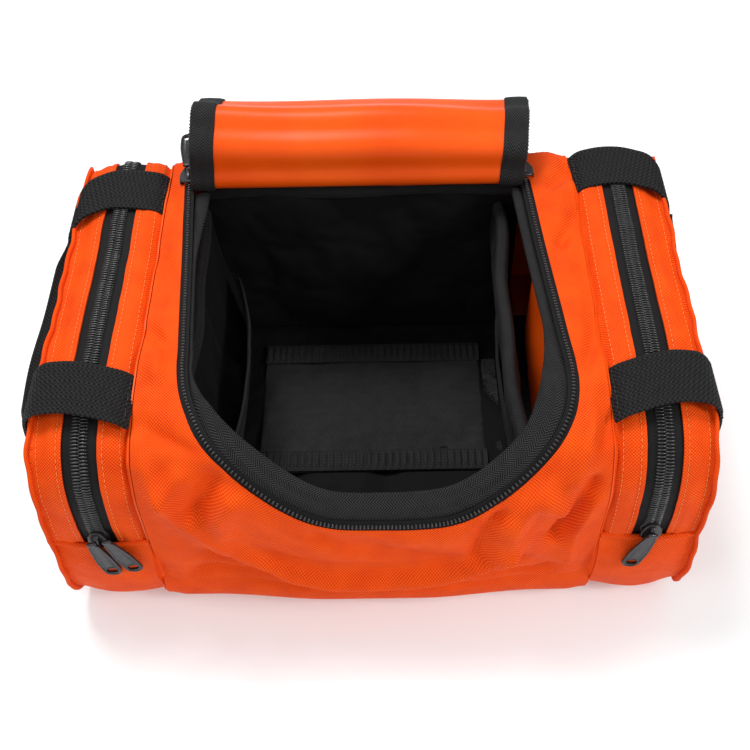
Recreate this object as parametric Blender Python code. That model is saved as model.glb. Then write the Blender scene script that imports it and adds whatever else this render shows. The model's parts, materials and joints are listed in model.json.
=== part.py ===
"""First-responder trauma bag: a soft duffle with a D-shaped lid, a padded insert and a zipped pocket at each end.

Metres, +Z up. The origin is on the ground under the middle of the main body, and the front is -Y. The bag stands
open: the lid is thrown back over the rear edge. Every cloth panel is a thin solid of its own, and every moving
piece has its origin on the axis it turns about or slides along.
"""

from math import cos, pi, radians, sin

import bmesh
import bpy
from mathutils import Matrix, Vector

# Driving dimensions of the bag
LENGTH = 0.400  # over the two end panels
DEPTH = 0.268
HEIGHT = 0.170
MAIN_LENGTH = 0.280  # between the two seams where the end pockets start
CLOTH = 0.0026  # lined cloth panel
GAP = 0.0004  # clearance between sewn neighbours
DIVIDING_WALL = 0.0016
HEM_Z = 0.039  # top of the base tray's turned-up edge
POCKET_SEAM_Z = 0.085  # where a pocket's zip ends in front and behind
POCKET_LIFT = 0.004  # the pockets hang this far off the ground

# Corner radii of the side outline: front top, rear top, rear bottom, front bottom
MAIN_RADII = (0.050, 0.026, 0.012, 0.012)
POCKET_RADII = (0.032, 0.030, 0.014, 0.014)
POCKET_INSET = 0.0025

# D-shaped opening and lid, measured along the cloth from the hinge line towards the front
HINGE_Y = 0.095
HINGE_Z = 0.1745
ZIP_HALF = 0.1165
ZIP_STRAIGHT = 0.150
ZIP_REACH = 0.246
ZIP_BEHIND_HINGE = 0.022
D_POWER = 2.6
# The opening leans to the right towards the front: how far it is moved at the hinge line, per metre, and at most
LEAN_AT_HINGE = -0.009
LEAN_RATE = 0.077
LEAN_LIMIT = 0.006
CUT_INSET = 0.0035  # cloth edge inside the zip line
LID_INSET = 0.0065  # lid edge inside the zip line
LID_CLOTH = 0.0024
LID_FOLDS = (0.0, 0.026, 0.052, 0.082, 0.165, 0.205)
LID_OPEN_ANGLES = (100, 150, 205, 262, 266, 268)  # of each lid part, from lying flat towards the front
LID_FOLD_GAP = 0.0011
LID_PARTS = ("hinge", "rear", "crown", "middle", "shoulder", "nose")

# Zips
TAPE = 0.0012
CHAIN_RISE = 0.0014
CHAIN_WIDTH = 0.0075
MAIN_TAPE_WIDTH = 0.012
POCKET_TAPE_WIDTH = 0.021
SLIDER_SIZE = (0.0115, 0.0165, 0.0052)
SLIDER_PARK = 0.012  # the lid zip's sliders stand this far behind the hinge line
TAB_LENGTH = 0.038
TAB_WIDTH = 0.0095
TAB_THICK = 0.0017
TAB_DROOP = 5  # degrees that a tab lying on the bag's top slopes down
TAB_SWING = 15  # degrees that a hanging tab swings towards the middle of the bag
POCKET_TABS = {"left": {"pull_front": -0.003, "pull_rear": 0.007}, "right": {"pull": 0.0}}

# Webbing
WEBBING = 0.0020
STRAP_WIDTH = 0.038
STRAP_YS = {"front": -0.080, "rear": 0.096}
STRAP_FOOT_Z = 0.050
STRAP_LIFT = 0.0035  # over the bag's top, so that it clears the pocket zip
STRAP_STANDOFF = 0.0008  # from the end panel
STRAP_BEND = 0.007
HANDLE_Z = 0.138
HANDLE_REACH = 0.0255
HANDLE_WIDTH = 0.018
HANDLE_STANDOFF = 0.0015  # of its turning line, from the straps

# Padded insert and what lies in it
PAD = 0.006
INSERT_HALF = 0.107
INSERT_FRONT_Y = -0.123
INSERT_REAR_Y = 0.112
SIDE_WALL_TOP = 0.146
FRONT_WALL_TOP = 0.117
BINDING_SIDE = 0.0016
BINDING_DROP = 0.010
BOARD = 0.003
FLOOR_PAD = 0.005
SLIP_POCKET_YS = (-0.095, 0.085)
SLIP_POCKET_TOP = 0.092
DIVIDER = ((-0.086, -0.036), (0.082, 0.084))  # its near left and far right corners
LOOP_STRIP = ((0.084, -0.030), (0.0945, 0.070))
ARC_STEPS = 7

ORANGE = (0.90, 0.09, 0.008, 1)
COATED_ORANGE = (0.85, 0.13, 0.02, 1)
BLACK = (0.012, 0.012, 0.013, 1)
GUNMETAL = (0.06, 0.06, 0.065, 1)


def clear_scene():
    for obj in list(bpy.data.objects):
        bpy.data.objects.remove(obj, do_unlink=True)


def material(name, colour, roughness, metallic=0.0):
    made = bpy.data.materials.new(name)
    made.use_nodes = True
    shader = made.node_tree.nodes["Principled BSDF"]
    shader.inputs["Base Color"].default_value = colour
    shader.inputs["Roughness"].default_value = roughness
    shader.inputs["Metallic"].default_value = metallic
    return made


def add_object(name, bm, finish, origin=(0, 0, 0), parent=None):
    """Turns a bmesh drawn in world space into an object whose origin is at the given point."""
    bmesh.ops.remove_doubles(bm, verts=bm.verts, dist=1e-6)
    bmesh.ops.recalc_face_normals(bm, faces=bm.faces)
    bm.transform(Matrix.Translation(-Vector(origin)))
    mesh = bpy.data.meshes.new(name)
    bm.to_mesh(mesh)
    bm.free()
    mesh.shade_smooth()
    mesh.set_sharp_from_angle(angle=radians(35))
    mesh.materials.append(finish)
    obj = bpy.data.objects.new(name, mesh)
    obj.location = origin
    bpy.context.collection.objects.link(obj)
    if parent is not None:
        obj.parent = parent
        obj.matrix_parent_inverse = Matrix.Translation(-parent.location)
    return obj


def ring_solid(rings):
    """A closed bmesh through rings of equally many points, capped at both ends."""
    bm = bmesh.new()
    loops = [[bm.verts.new(p) for p in ring] for ring in rings]
    count = len(loops[0])
    for first, second in zip(loops, loops[1:]):
        for i in range(count):
            j = (i + 1) % count
            bm.faces.new((first[i], first[j], second[j], second[i]))
    bm.faces.new(loops[0][::-1])
    bm.faces.new(loops[-1])
    return bm


def slab_x(outline, x_low, x_high):
    """A flat panel: an outline of (y, z) points, extruded from one x to another."""
    return ring_solid([[(x, y, z) for y, z in outline] for x in (x_low, x_high)])


def box(low, high):
    (x0, y0, z0), (x1, y1, z1) = low, high
    return slab_x([(y0, z0), (y1, z0), (y1, z1), (y0, z1)], x0, x1)


def sweep(path, normals, section):
    """Carries a section of (across, out) points along a path; across lies in the cloth, out is its normal."""
    rings = []
    for i, point in enumerate(path):
        ahead = path[min(i + 1, len(path) - 1)] - path[max(i - 1, 0)]
        out = normals[i].normalized()
        across = out.cross(ahead).normalized()
        rings.append([point + across * a + out * o for a, o in section])
    return ring_solid(rings)


def corner(centre, radius, start, end):
    """Points of a round corner, from one angle to another, in degrees."""
    steps = [start + (end - start) * i / ARC_STEPS for i in range(ARC_STEPS + 1)]
    return [(centre[0] + radius * cos(radians(a)), centre[1] + radius * sin(radians(a))) for a in steps]


def side_outline(radii, inset=0.0, low=0.0):
    """The bag seen from its end, as (y, z) points from the front bottom, over the top, to the rear bottom."""
    front_top, rear_top, rear_bottom, front_bottom = (r - inset for r in radii)
    half, top, bottom = DEPTH / 2 - inset, HEIGHT - inset, low + inset
    return (
        corner((-half + front_bottom, bottom + front_bottom), front_bottom, 270, 180)
        + corner((-half + front_top, top - front_top), front_top, 180, 90)
        + corner((half - rear_top, top - rear_top), rear_top, 90, 0)
        + corner((half - rear_bottom, bottom + rear_bottom), rear_bottom, 0, -90)
    )


def above(outline, z):
    """The part of a side outline over a level, ending exactly on it."""
    kept = [p for p in outline if p[1] > z]
    return [(kept[0][0], z)] + kept + [(kept[-1][0], z)]


def below(outline, z):
    """The part of a side outline under a level, from the front, under the bag, to the rear."""
    front = [p for p in outline if p[1] < z and p[0] < 0]
    rear = [p for p in outline if p[1] < z and p[0] > 0]
    return [(front[-1][0], z)] + front[::-1] + rear[::-1] + [(rear[0][0], z)]


def band(part, radii, z, thickness, inset=0.0, low=0.0):
    """A bent panel's cross-section: one line of the side outline and a second one a thickness inside it."""
    outer = part(side_outline(radii, inset, low), z)
    inner = part(side_outline(radii, inset + thickness, low), z)
    return outer + inner[::-1]


def along_lid(distance):
    """(y, z) on the main panel's outer face, and its (y, z) normal, at a distance forward of the hinge line."""
    radius = MAIN_RADII[0]
    flat = HINGE_Y + DEPTH / 2 - radius
    if distance <= flat:
        return (HINGE_Y - distance, HEIGHT), (0.0, 1.0)
    turn = (distance - flat) / radius
    centre = (-DEPTH / 2 + radius, HEIGHT - radius)
    normal = (-sin(turn), cos(turn))
    return (centre[0] + radius * normal[0], centre[1] + radius * normal[1]), normal


def d_half_width(distance, inset):
    """Half the D's width at a distance from the hinge line, before it leans."""
    half = ZIP_HALF - inset
    if distance <= ZIP_STRAIGHT:
        return half
    share = min(1.0, (distance - ZIP_STRAIGHT) / (ZIP_REACH - inset - ZIP_STRAIGHT))
    return half * (1 - share**D_POWER) ** (1 / D_POWER)


def leaned(x, distance):
    """x moved sideways as the whole opening leans at a distance from the hinge line."""
    return x + min(LEAN_AT_HINGE + LEAN_RATE * distance, LEAN_LIMIT)


def d_outline(inset, start, steps=20):
    """(x, distance) points of the D from its rear left end, round the front, to its rear right end."""
    half, reach = ZIP_HALF - inset, ZIP_REACH - inset - ZIP_STRAIGHT
    points = [(-half, start)]
    for i in range(steps + 1):
        angle = pi * i / steps
        side = -cos(angle)
        x = half * (1 if side > 0 else -1) * abs(side) ** (2 / D_POWER)
        points.append((x, ZIP_STRAIGHT + reach * sin(angle) ** (2 / D_POWER)))
    points.append((half, start))
    return [(leaned(x, distance), distance) for x, distance in points]


def main_body(orange, coated, stiff):
    """The wrapped panel with its D-shaped hole, the base tray, the two dividing walls and the base board."""
    half = MAIN_LENGTH / 2 - GAP
    panel = add_object(
        "main_panel", slab_x(band(above, MAIN_RADII, HEM_Z + GAP, CLOTH), -half, half), orange
    )
    hole = [(x, along_lid(d)[0][0]) for x, d in d_outline(CUT_INSET, 0.0)]
    cutter = add_object(
        "d_opening_cutter",
        ring_solid([[(x, y, z) for x, y in hole] for z in (HEIGHT - 0.08, HEIGHT + 0.05)]),
        orange,
    )
    cutter.hide_render = True
    cutter.display_type = "WIRE"
    cut = panel.modifiers.new("d_opening", "BOOLEAN")
    cut.object = cutter
    cut.operation = "DIFFERENCE"
    add_object("base_tray", slab_x(band(below, MAIN_RADII, HEM_Z, CLOTH), -half, half), orange)
    wall = side_outline(POCKET_RADII, POCKET_INSET + 0.002, POCKET_LIFT)
    for side, sign in (("left", -1), ("right", 1)):
        x = sign * (half + GAP)
        add_object(f"{side}_dividing_wall", slab_x(wall, x, x + sign * DIVIDING_WALL), coated)
    edge = half - GAP
    inner = DEPTH / 2 - MAIN_RADII[3]
    add_object(
        "base_board", box((-edge, -inner, CLOTH + GAP), (edge, inner, CLOTH + GAP + BOARD)), stiff
    )


def padded_insert(padding, binding, loop):
    """Floor pad, four walls with bound edges, two slip pockets, and the divider that lies on the floor."""
    floor_low = CLOTH + BOARD + 2 * GAP
    floor = floor_low + FLOOR_PAD
    wall_low = floor + GAP
    front, rear = INSERT_FRONT_Y, INSERT_REAR_Y
    half = INSERT_HALF
    add_object("insert_floor", box((-half, front, floor_low), (half, rear, floor)), padding)
    across = half - PAD - GAP
    rear_low, front_low = (-half, rear - PAD, wall_low), (-half, front, wall_low)
    add_object("insert_rear_wall", box(rear_low, (half, rear, SIDE_WALL_TOP)), padding)
    add_object("insert_front_wall", box(front_low, (half, front + PAD, FRONT_WALL_TOP)), padding)
    add_object(
        "insert_front_binding",
        bound_edge(Vector((0, front + PAD / 2, FRONT_WALL_TOP)), Vector((1, 0, 0)), across - 0.001),
        binding,
    )
    wall_ends = (front + PAD + GAP, rear - PAD - GAP)
    middle = sum(wall_ends) / 2
    for side, sign in (("left", -1), ("right", 1)):
        xs = sorted((sign * half, sign * (half - PAD)))
        wall = box((xs[0], wall_ends[0], wall_low), (xs[1], wall_ends[1], SIDE_WALL_TOP))
        add_object(f"insert_{side}_wall", wall, padding)
        add_object(
            f"insert_{side}_binding",
            bound_edge(
                Vector((sign * (half - PAD / 2), middle, SIDE_WALL_TOP)),
                Vector((0, 1, 0)),
                (wall_ends[1] - wall_ends[0]) / 2 - 0.004,
            ),
            binding,
        )
        xs = sorted((sign * (across - 0.0015), sign * (across - 0.0030)))
        pocket = box(
            (xs[0], SLIP_POCKET_YS[0], wall_low), (xs[1], SLIP_POCKET_YS[1], SLIP_POCKET_TOP)
        )
        add_object(f"{side}_slip_pocket", pocket, padding)
    near, far = DIVIDER
    add_object("divider_pad", box((*near, wall_low), (*far, floor + 0.005)), padding)
    near, far = LOOP_STRIP
    add_object("floor_loop_strip", box((*near, wall_low), (*far, floor + 0.0016)), loop)


def bound_edge(middle, direction, half):
    """A folded tape over the top edge of a padded wall: an upside-down U that clears the wall all round."""
    inner = PAD / 2 + GAP
    outer = inner + BINDING_SIDE
    section = [
        (-outer, -BINDING_DROP),
        (-inner, -BINDING_DROP),
        (-inner, GAP),
        (inner, GAP),
        (inner, -BINDING_DROP),
        (outer, -BINDING_DROP),
        (outer, GAP + BINDING_SIDE),
        (-outer, GAP + BINDING_SIDE),
    ]
    ends = [middle - direction * half, middle + direction * half]
    return sweep(ends, [Vector((0, 0, 1))] * 2, section)


def lid_joints():
    """The lid's fold lines at rest, from the hinge line out, as world points."""
    points = [Vector((0, HINGE_Y, HINGE_Z))]
    ends = LID_FOLDS[1:] + (ZIP_REACH - LID_INSET,)
    for start, end, angle in zip(LID_FOLDS, ends, LID_OPEN_ANGLES):
        turned = radians(angle)
        points.append(points[-1] + Vector((0, -cos(turned), sin(turned))) * (end - start))
    return points


def lid(coated):
    """Flat panels of the one lid cloth, from the hinge line out, each turning about the fold before it."""
    folds = lid_joints()
    parent = None
    for i, part in enumerate(LID_PARTS):
        start = LID_FOLDS[i] + (0.004 if i == 0 else LID_FOLD_GAP)
        last = i == len(LID_PARTS) - 1
        end = ZIP_REACH - LID_INSET if last else LID_FOLDS[i + 1] - LID_FOLD_GAP
        steps = 12 if last else 6
        # The nose's points crowd towards its tip, where the D turns fastest.
        shares = [sin(pi / 2 * k / steps) if last else k / steps for k in range(steps + 1)]
        side = [start + (end - start) * share for share in shares]
        right = [(d_half_width(d, LID_INSET), d) for d in side]
        left = [(-x, d) for x, d in right[::-1] if x > 1e-6]
        outline = [(leaned(x, d), d) for x, d in right + left]
        turned = radians(LID_OPEN_ANGLES[i])
        along = Vector((0, -cos(turned), sin(turned)))
        out = Vector((0, sin(turned), cos(turned)))
        rings = []
        for height in (-LID_CLOTH / 2, LID_CLOTH / 2):
            base = folds[i] + out * height
            rings.append([base + along * (d - LID_FOLDS[i]) + Vector((x, 0, 0)) for x, d in outline])
        parent = add_object(f"lid_{part}_panel", ring_solid(rings), coated, folds[i], parent)


def zip_section(width):
    """Tape with the chain of coil teeth standing on its middle."""
    tape, chain = width / 2, CHAIN_WIDTH / 2
    return [
        (-tape, GAP),
        (tape, GAP),
        (tape, GAP + TAPE),
        (chain, GAP + TAPE),
        (chain, GAP + TAPE + CHAIN_RISE),
        (-chain, GAP + TAPE + CHAIN_RISE),
        (-chain, GAP + TAPE),
        (-tape, GAP + TAPE),
    ]


def zip_slider(name, centre, along, out, metal):
    """A slider body: a rounded wedge with a raised bridge that holds the pull tab's pin."""
    across = out.cross(along)
    width, length, height = SLIDER_SIZE
    shape = [(0.50, -0.50), (0.50, 0.10), (0.36, 0.42), (0.16, 0.50)]
    outline = shape + [(-a, b) for a, b in shape[::-1]]
    rings = []
    for level, scale in ((0.0, 1.0), (0.60, 1.0), (1.0, 0.62)):
        base = centre + out * (height * level)
        rings.append([base + across * (a * width * scale) + along * (b * length * scale) for a, b in outline])
    return add_object(name, ring_solid(rings), metal, centre)


def pull_tab(name, pin, along, out, metal, parent):
    """A tapered tab with a slot at its free end, hinged at its narrow end."""
    across = out.cross(along)
    half, thick = TAB_WIDTH / 2, TAB_THICK / 2
    tip = [
        (half * cos(radians(a)), TAB_LENGTH - half + half * sin(radians(a)))
        for a in range(0, 181, 30)
    ]
    outline = [(-0.68 * half, 0.0005), (0.68 * half, 0.0005)] + tip
    slot_from, slot_to = TAB_LENGTH - 0.0085, TAB_LENGTH - 0.0028
    slot = [(-0.55, slot_from), (0.55, slot_from), (0.42, slot_to), (-0.42, slot_to)]
    rings = [
        [pin + across * a + along * b + out * level for a, b in outline] for level in (-thick, thick)
    ]
    tab = add_object(name, ring_solid(rings), metal, pin, parent)
    rings = [
        [pin + across * (a * half) + along * b + out * level for a, b in slot]
        for level in (-3 * thick, 3 * thick)
    ]
    cutter = add_object(f"{name}_slot_cutter", ring_solid(rings), metal, pin, parent)
    cutter.hide_render = True
    cutter.display_type = "WIRE"
    cut = tab.modifiers.new("slot", "BOOLEAN")
    cut.object = cutter
    cut.operation = "DIFFERENCE"
    return tab


def main_zip(tape, metal):
    """The body's half of the lid zip round the D, with a slider and a pull tab parked at each rear end."""
    path, normals = [], []
    for x, distance in d_outline(0.0, -ZIP_BEHIND_HINGE, 28):
        (y, z), (normal_y, normal_z) = along_lid(distance)
        path.append(Vector((x, y, z)))
        normals.append(Vector((0, normal_y, normal_z)))
    add_object("main_zip", sweep(path, normals, zip_section(MAIN_TAPE_WIDTH)), tape)
    up = Vector((0, 0, 1))
    back = Vector((-LEAN_RATE, 1, 0)).normalized()
    droop = radians(TAB_DROOP)
    base = HEIGHT + 2 * GAP + TAPE + CHAIN_RISE
    for side, sign in (("left", -1), ("right", 1)):
        centre = Vector((leaned(sign * ZIP_HALF, -SLIDER_PARK), HINGE_Y + SLIDER_PARK, base))
        slider = zip_slider(f"main_zip_{side}_slider", centre, back, up, metal)
        pin = centre + back * (SLIDER_SIZE[1] / 4) + up * (SLIDER_SIZE[2] + TAB_THICK / 2 + 3 * GAP)
        along, out = back * cos(droop) - up * sin(droop), back * sin(droop) + up * cos(droop)
        pull_tab(f"main_zip_{side}_pull", pin, along, out, metal, slider)


def pocket_cloth(side, sign, orange, tape):
    """Outer panel, lower gusset, the two gusset strips beside the zip, and the zip itself."""
    inner_x = MAIN_LENGTH / 2 + DIVIDING_WALL + GAP
    outer_x = LENGTH / 2 - CLOTH
    zip_x = (inner_x + outer_x) / 2
    edge = POCKET_TAPE_WIDTH / 2
    arch = band(above, POCKET_RADII, POCKET_SEAM_Z + GAP, CLOTH, POCKET_INSET, POCKET_LIFT)
    foot = band(below, POCKET_RADII, POCKET_SEAM_Z, CLOTH, POCKET_INSET, POCKET_LIFT)
    strips = {
        f"{side}_gusset_inner_strip": (arch, inner_x, zip_x - edge),
        f"{side}_gusset_outer_strip": (arch, zip_x + edge, outer_x - GAP),
        f"{side}_lower_gusset": (foot, inner_x, outer_x - GAP),
        f"{side}_end_panel": (side_outline(POCKET_RADII, POCKET_INSET, POCKET_LIFT), outer_x, LENGTH / 2),
    }
    for name, (outline, near, far) in strips.items():
        add_object(name, slab_x(outline, sign * near, sign * far), orange)
    depth = POCKET_INSET + CLOTH - TAPE
    line = above(side_outline(POCKET_RADII, depth, POCKET_LIFT), POCKET_SEAM_Z + GAP)
    path = [Vector((sign * zip_x, y, z)) for y, z in line]
    normals = []
    for i in range(len(line)):
        before, after = line[max(i - 1, 0)], line[min(i + 1, len(line) - 1)]
        normals.append(Vector((0, before[1] - after[1], after[0] - before[0])) * -1)
    add_object(f"{side}_pocket_zip", sweep(path, normals, zip_section(POCKET_TAPE_WIDTH - 2 * GAP)), tape)
    return zip_x


def pocket_slider(side, sign, zip_x, tabs, metal):
    """The slider at the bottom of the pocket zip's front run, and its pull tabs, which hang askew side by side."""
    forward = Vector((0, -1, 0))
    chain_y = -DEPTH / 2 + POCKET_INSET + CLOTH - TAPE - GAP - TAPE - CHAIN_RISE
    centre = Vector((sign * zip_x, chain_y - GAP, POCKET_SEAM_Z + 0.0095))
    slider = zip_slider(f"{side}_pocket_slider", centre, Vector((0, 0, 1)), forward, metal)
    swing = radians(TAB_SWING)
    hang = Vector((-sign * sin(swing), 0, -cos(swing)))
    reach = SLIDER_SIZE[2] + GAP + TAB_THICK / 2
    for name, aside in tabs.items():
        pin = centre + forward * reach + Vector((0, 0, 0.002)) + forward.cross(hang) * aside
        pull_tab(f"{side}_pocket_{name}", pin, hang, forward, metal, slider)


def strap(name, sign, y, webbing):
    """Webbing sewn to the main body's seam, over the pocket's top and down its end panel."""
    top = HEIGHT + STRAP_LIFT
    outer_x = LENGTH / 2 + STRAP_STANDOFF
    bend = corner((outer_x - STRAP_BEND, top - STRAP_BEND), STRAP_BEND, 90, 0)
    line = [(MAIN_LENGTH / 2 + 0.003, top)] + bend + [(outer_x, STRAP_FOOT_Z)]
    path = [Vector((sign * x, y, z)) for x, z in line]
    normals = [Vector((0, 0, 1))] + [
        Vector((sign * (x - outer_x + STRAP_BEND), 0, z - top + STRAP_BEND)) for x, z in bend
    ]
    normals.append(Vector((sign, 0, 0)))
    half = STRAP_WIDTH / 2
    section = [(-half, 0), (half, 0), (half, WEBBING), (-half, WEBBING)]
    add_object(name, sweep(path, normals, section), webbing)


def end_handle(side, sign, webbing):
    """A webbing loop between the two straps, standing out from the end panel and turning about its sewn line."""
    hinge_x = sign * (LENGTH / 2 + STRAP_STANDOFF + WEBBING + HANDLE_STANDOFF)
    front, rear = STRAP_YS["front"], STRAP_YS["rear"]
    middle, half = (front + rear) / 2, (rear - front) / 2
    steps = 14
    rings = []
    for i in range(steps + 1):
        share = -1 + 2 * i / steps
        reach = HANDLE_REACH * (1 - 0.28 * share**4)
        near = max(0.0005, reach - HANDLE_WIDTH)
        xs = (hinge_x + sign * near, hinge_x + sign * reach)
        y = middle + half * share
        rings.append(
            [
                Vector((xs[0], y, HANDLE_Z - WEBBING / 2)),
                Vector((xs[1], y, HANDLE_Z - WEBBING / 2)),
                Vector((xs[1], y, HANDLE_Z + WEBBING / 2)),
                Vector((xs[0], y, HANDLE_Z + WEBBING / 2)),
            ]
        )
    add_object(f"{side}_end_handle", ring_solid(rings), webbing, (hinge_x, middle, HANDLE_Z))


def build():
    clear_scene()
    orange = material("orange_woven_nylon", ORANGE, 0.75)
    coated = material("orange_coated_lining", COATED_ORANGE, 0.38)
    black = material("black_padded_nylon", BLACK, 0.85)
    webbing = material("black_webbing", BLACK, 0.7)
    tape = material("black_coil_zip", BLACK, 0.5)
    loop = material("black_loop_tape", BLACK, 0.95)
    board = material("black_base_board", BLACK, 0.6)
    metal = material("gunmetal", GUNMETAL, 0.35, 0.9)
    main_body(orange, coated, board)
    padded_insert(black, webbing, loop)
    lid(coated)
    main_zip(tape, metal)
    for side, sign in (("left", -1), ("right", 1)):
        zip_x = pocket_cloth(side, sign, orange, tape)
        pocket_slider(side, sign, zip_x, POCKET_TABS[side], metal)
        for place, y in STRAP_YS.items():
            strap(f"{side}_{place}_strap", sign, y, webbing)
        end_handle(side, sign, webbing)


build()
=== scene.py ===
"""Looks of the trauma bag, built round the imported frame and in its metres."""

import json
from math import cos, pi, radians, sin, sqrt

import bpy
import numpy as np
from mathutils import Matrix, Vector


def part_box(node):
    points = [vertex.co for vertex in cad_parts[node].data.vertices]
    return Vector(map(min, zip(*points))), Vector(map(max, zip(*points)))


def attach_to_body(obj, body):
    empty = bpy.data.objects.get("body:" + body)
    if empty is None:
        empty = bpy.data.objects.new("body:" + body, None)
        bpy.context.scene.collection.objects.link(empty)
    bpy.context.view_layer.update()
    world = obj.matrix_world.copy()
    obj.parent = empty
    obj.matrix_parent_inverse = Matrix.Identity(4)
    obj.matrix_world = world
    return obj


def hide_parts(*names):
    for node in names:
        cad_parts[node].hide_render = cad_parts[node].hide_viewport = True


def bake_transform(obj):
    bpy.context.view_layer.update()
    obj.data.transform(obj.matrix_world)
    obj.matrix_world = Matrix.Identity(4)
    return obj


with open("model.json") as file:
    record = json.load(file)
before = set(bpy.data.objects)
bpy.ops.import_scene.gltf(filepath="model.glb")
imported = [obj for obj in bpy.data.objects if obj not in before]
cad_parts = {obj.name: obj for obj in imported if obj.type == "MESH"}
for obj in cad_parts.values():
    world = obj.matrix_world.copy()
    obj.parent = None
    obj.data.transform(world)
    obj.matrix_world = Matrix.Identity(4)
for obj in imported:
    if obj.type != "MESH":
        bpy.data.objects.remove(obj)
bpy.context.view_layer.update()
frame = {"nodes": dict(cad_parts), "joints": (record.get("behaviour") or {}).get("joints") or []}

# Places read from the frame
JOINT_AT = {joint["name"]: Vector(joint["pos_m"]) for joint in frame["joints"] if "pos_m" in joint}
SIDES = (("left", -1), ("right", 1))
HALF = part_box("main_panel")[1].x
POCKET_LOW, POCKET_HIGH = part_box("right_lower_gusset")
END_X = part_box("right_end_panel")[1].x
ZIP_X = sum(corner.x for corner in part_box("right_pocket_zip")) / 2

# The D-shaped opening, in distance forward of the hinge line along the cloth
ZIP_HALF = 0.1165
ZIP_STRAIGHT = 0.150
ZIP_REACH = 0.246
ZIP_BEHIND = -0.022
D_POWER = 2.6  # roundness of the D's front corners
D_SPREAD = 0.105  # about the D's distance from its own middle
LEAN_AT_HINGE = -0.009  # the D is skewed in x: by this at the hinge, and by the rate further forward
LEAN_RATE = 0.077
LEAN_LIMIT = 0.006
CLOTH_EDGE = -0.0030  # inset of the cloth's hole from the zip's line, and where it starts behind the hinge
HOLE_START = -0.004
RING_INSETS = (0.0022, 0.0182)  # the ring inside the zip lies between these two insets
RING_SLOPE = -0.18
LID_INSET = 0.0045
BINDING_WIDTH = 0.0145

# Thicknesses and small goods
SHELL = 0.0018
LID_THICK = 0.0022
TAPE = 0.0008
TOOTH_PITCH = 0.0020
STITCH_LENGTH = 0.0026
STITCH_PITCH = 0.0037
STRAP_WIDTH = 0.038
RIBS = 16
TAB_LENGTH = 0.038
TAB_SWING = 15  # degrees that the pocket tabs hang away from straight down
TAB_DROOP = 5  # degrees that the main zip's tabs dip

# The main cloth is drawn in beside each pocket: from which x, and over what length
TUCK_START = 0.126
TUCK_LENGTH = 0.013

# End pockets, in x: the two edges of their cloth, their seam to the main body, and half the bared zip tape
POCKET_NEAR = POCKET_LOW.x - 0.0012
POCKET_FAR = END_X + 0.0004
SEAM_X = HALF + 0.0008
TAPE_EDGE = 0.0106

# The insert's pads
PAD_THICK = 0.0036
PAD_SINK = 0.0012  # how far a pad's face lies behind the face of its CAD node
PAD_WAVES = 0.0016
PAD_STEP = 0.0042
BAND_DEPTH = 0.018
WALL_LEANS = {"left": -0.0130, "right": 0.0150}  # how far each side wall's top leans into the compartment
WALL_BULGES = {"left": 0.004, "right": 0.030}  # how far each dividing wall bulges into the compartment

# (distance, y, z) along the main cloth from the rear hem, over the top, to the front hem: beside the opening,
# where the end pockets hold the cloth up, and in the middle, where its front edge hangs slack
BESIDE_OPENING = (
    (-0.159, 0.1335, 0.040), (-0.105, 0.1365, 0.092), (-0.046, 0.1365, 0.1540), (-0.031, 0.1320, 0.1685),
    (-0.012, 0.1100, 0.1722), (0.060, 0.0350, 0.1715), (0.130, -0.0350, 0.1715), (0.190, -0.0940, 0.1700),
    (0.214, -0.1160, 0.1615), (0.242, -0.1310, 0.1390), (0.290, -0.1350, 0.0920), (0.345, -0.1335, 0.0400),
)
MIDDLE_OF_OPENING = (
    (-0.159, 0.1335, 0.040), (-0.105, 0.1385, 0.092), (-0.052, 0.1370, 0.144), (-0.034, 0.1290, 0.1610),
    (-0.012, 0.1070, 0.1695), (0.060, 0.0350, 0.1620), (0.130, -0.0350, 0.1550), (0.190, -0.0960, 0.1480),
    (0.222, -0.1270, 0.1355), (0.246, -0.1435, 0.1170), (0.285, -0.1485, 0.0840), (0.318, -0.1480, 0.0560),
    (0.345, -0.1385, 0.0360),
)
# (distance, y, z) along the base tray from its front edge, under the bag, to its rear edge
UNDERSIDE = (
    (-0.010, -0.1300, 0.0480), (0.0, -0.1330, 0.0390), (0.018, -0.1345, 0.0200), (0.034, -0.1255, 0.0050),
    (0.050, -0.1120, 0.0010), (0.062, -0.1000, 0.0006), (0.160, 0.0, 0.0006), (0.258, 0.1000, 0.0006),
    (0.270, 0.1120, 0.0010), (0.286, 0.1255, 0.0050), (0.304, 0.1330, 0.0200), (0.322, 0.1322, 0.0390),
    (0.332, 0.1300, 0.0480),
)
# (y, z) round an end pocket: over it from its rear seam to its front one, and back underneath
POCKET_OVER = (
    (0.1318, 0.0858), (0.1342, 0.115), (0.1345, 0.152), (0.1295, 0.1665), (0.1100, 0.1700),
    (0.0200, 0.1690), (-0.0500, 0.1690), (-0.0880, 0.1670), (-0.1110, 0.1600), (-0.1265, 0.1410),
    (-0.1320, 0.1130), (-0.1318, 0.0858),
)
POCKET_UNDER = (
    (-0.1322, 0.0850), (-0.1370, 0.0620), (-0.1350, 0.0320), (-0.1260, 0.0120), (-0.1080, 0.0052),
    (-0.0940, 0.0046), (0.0, 0.0046), (0.0940, 0.0046), (0.1080, 0.0052), (0.1260, 0.0120), (0.1345, 0.0320),
    (0.1360, 0.0620), (0.1322, 0.0850),
)
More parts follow.
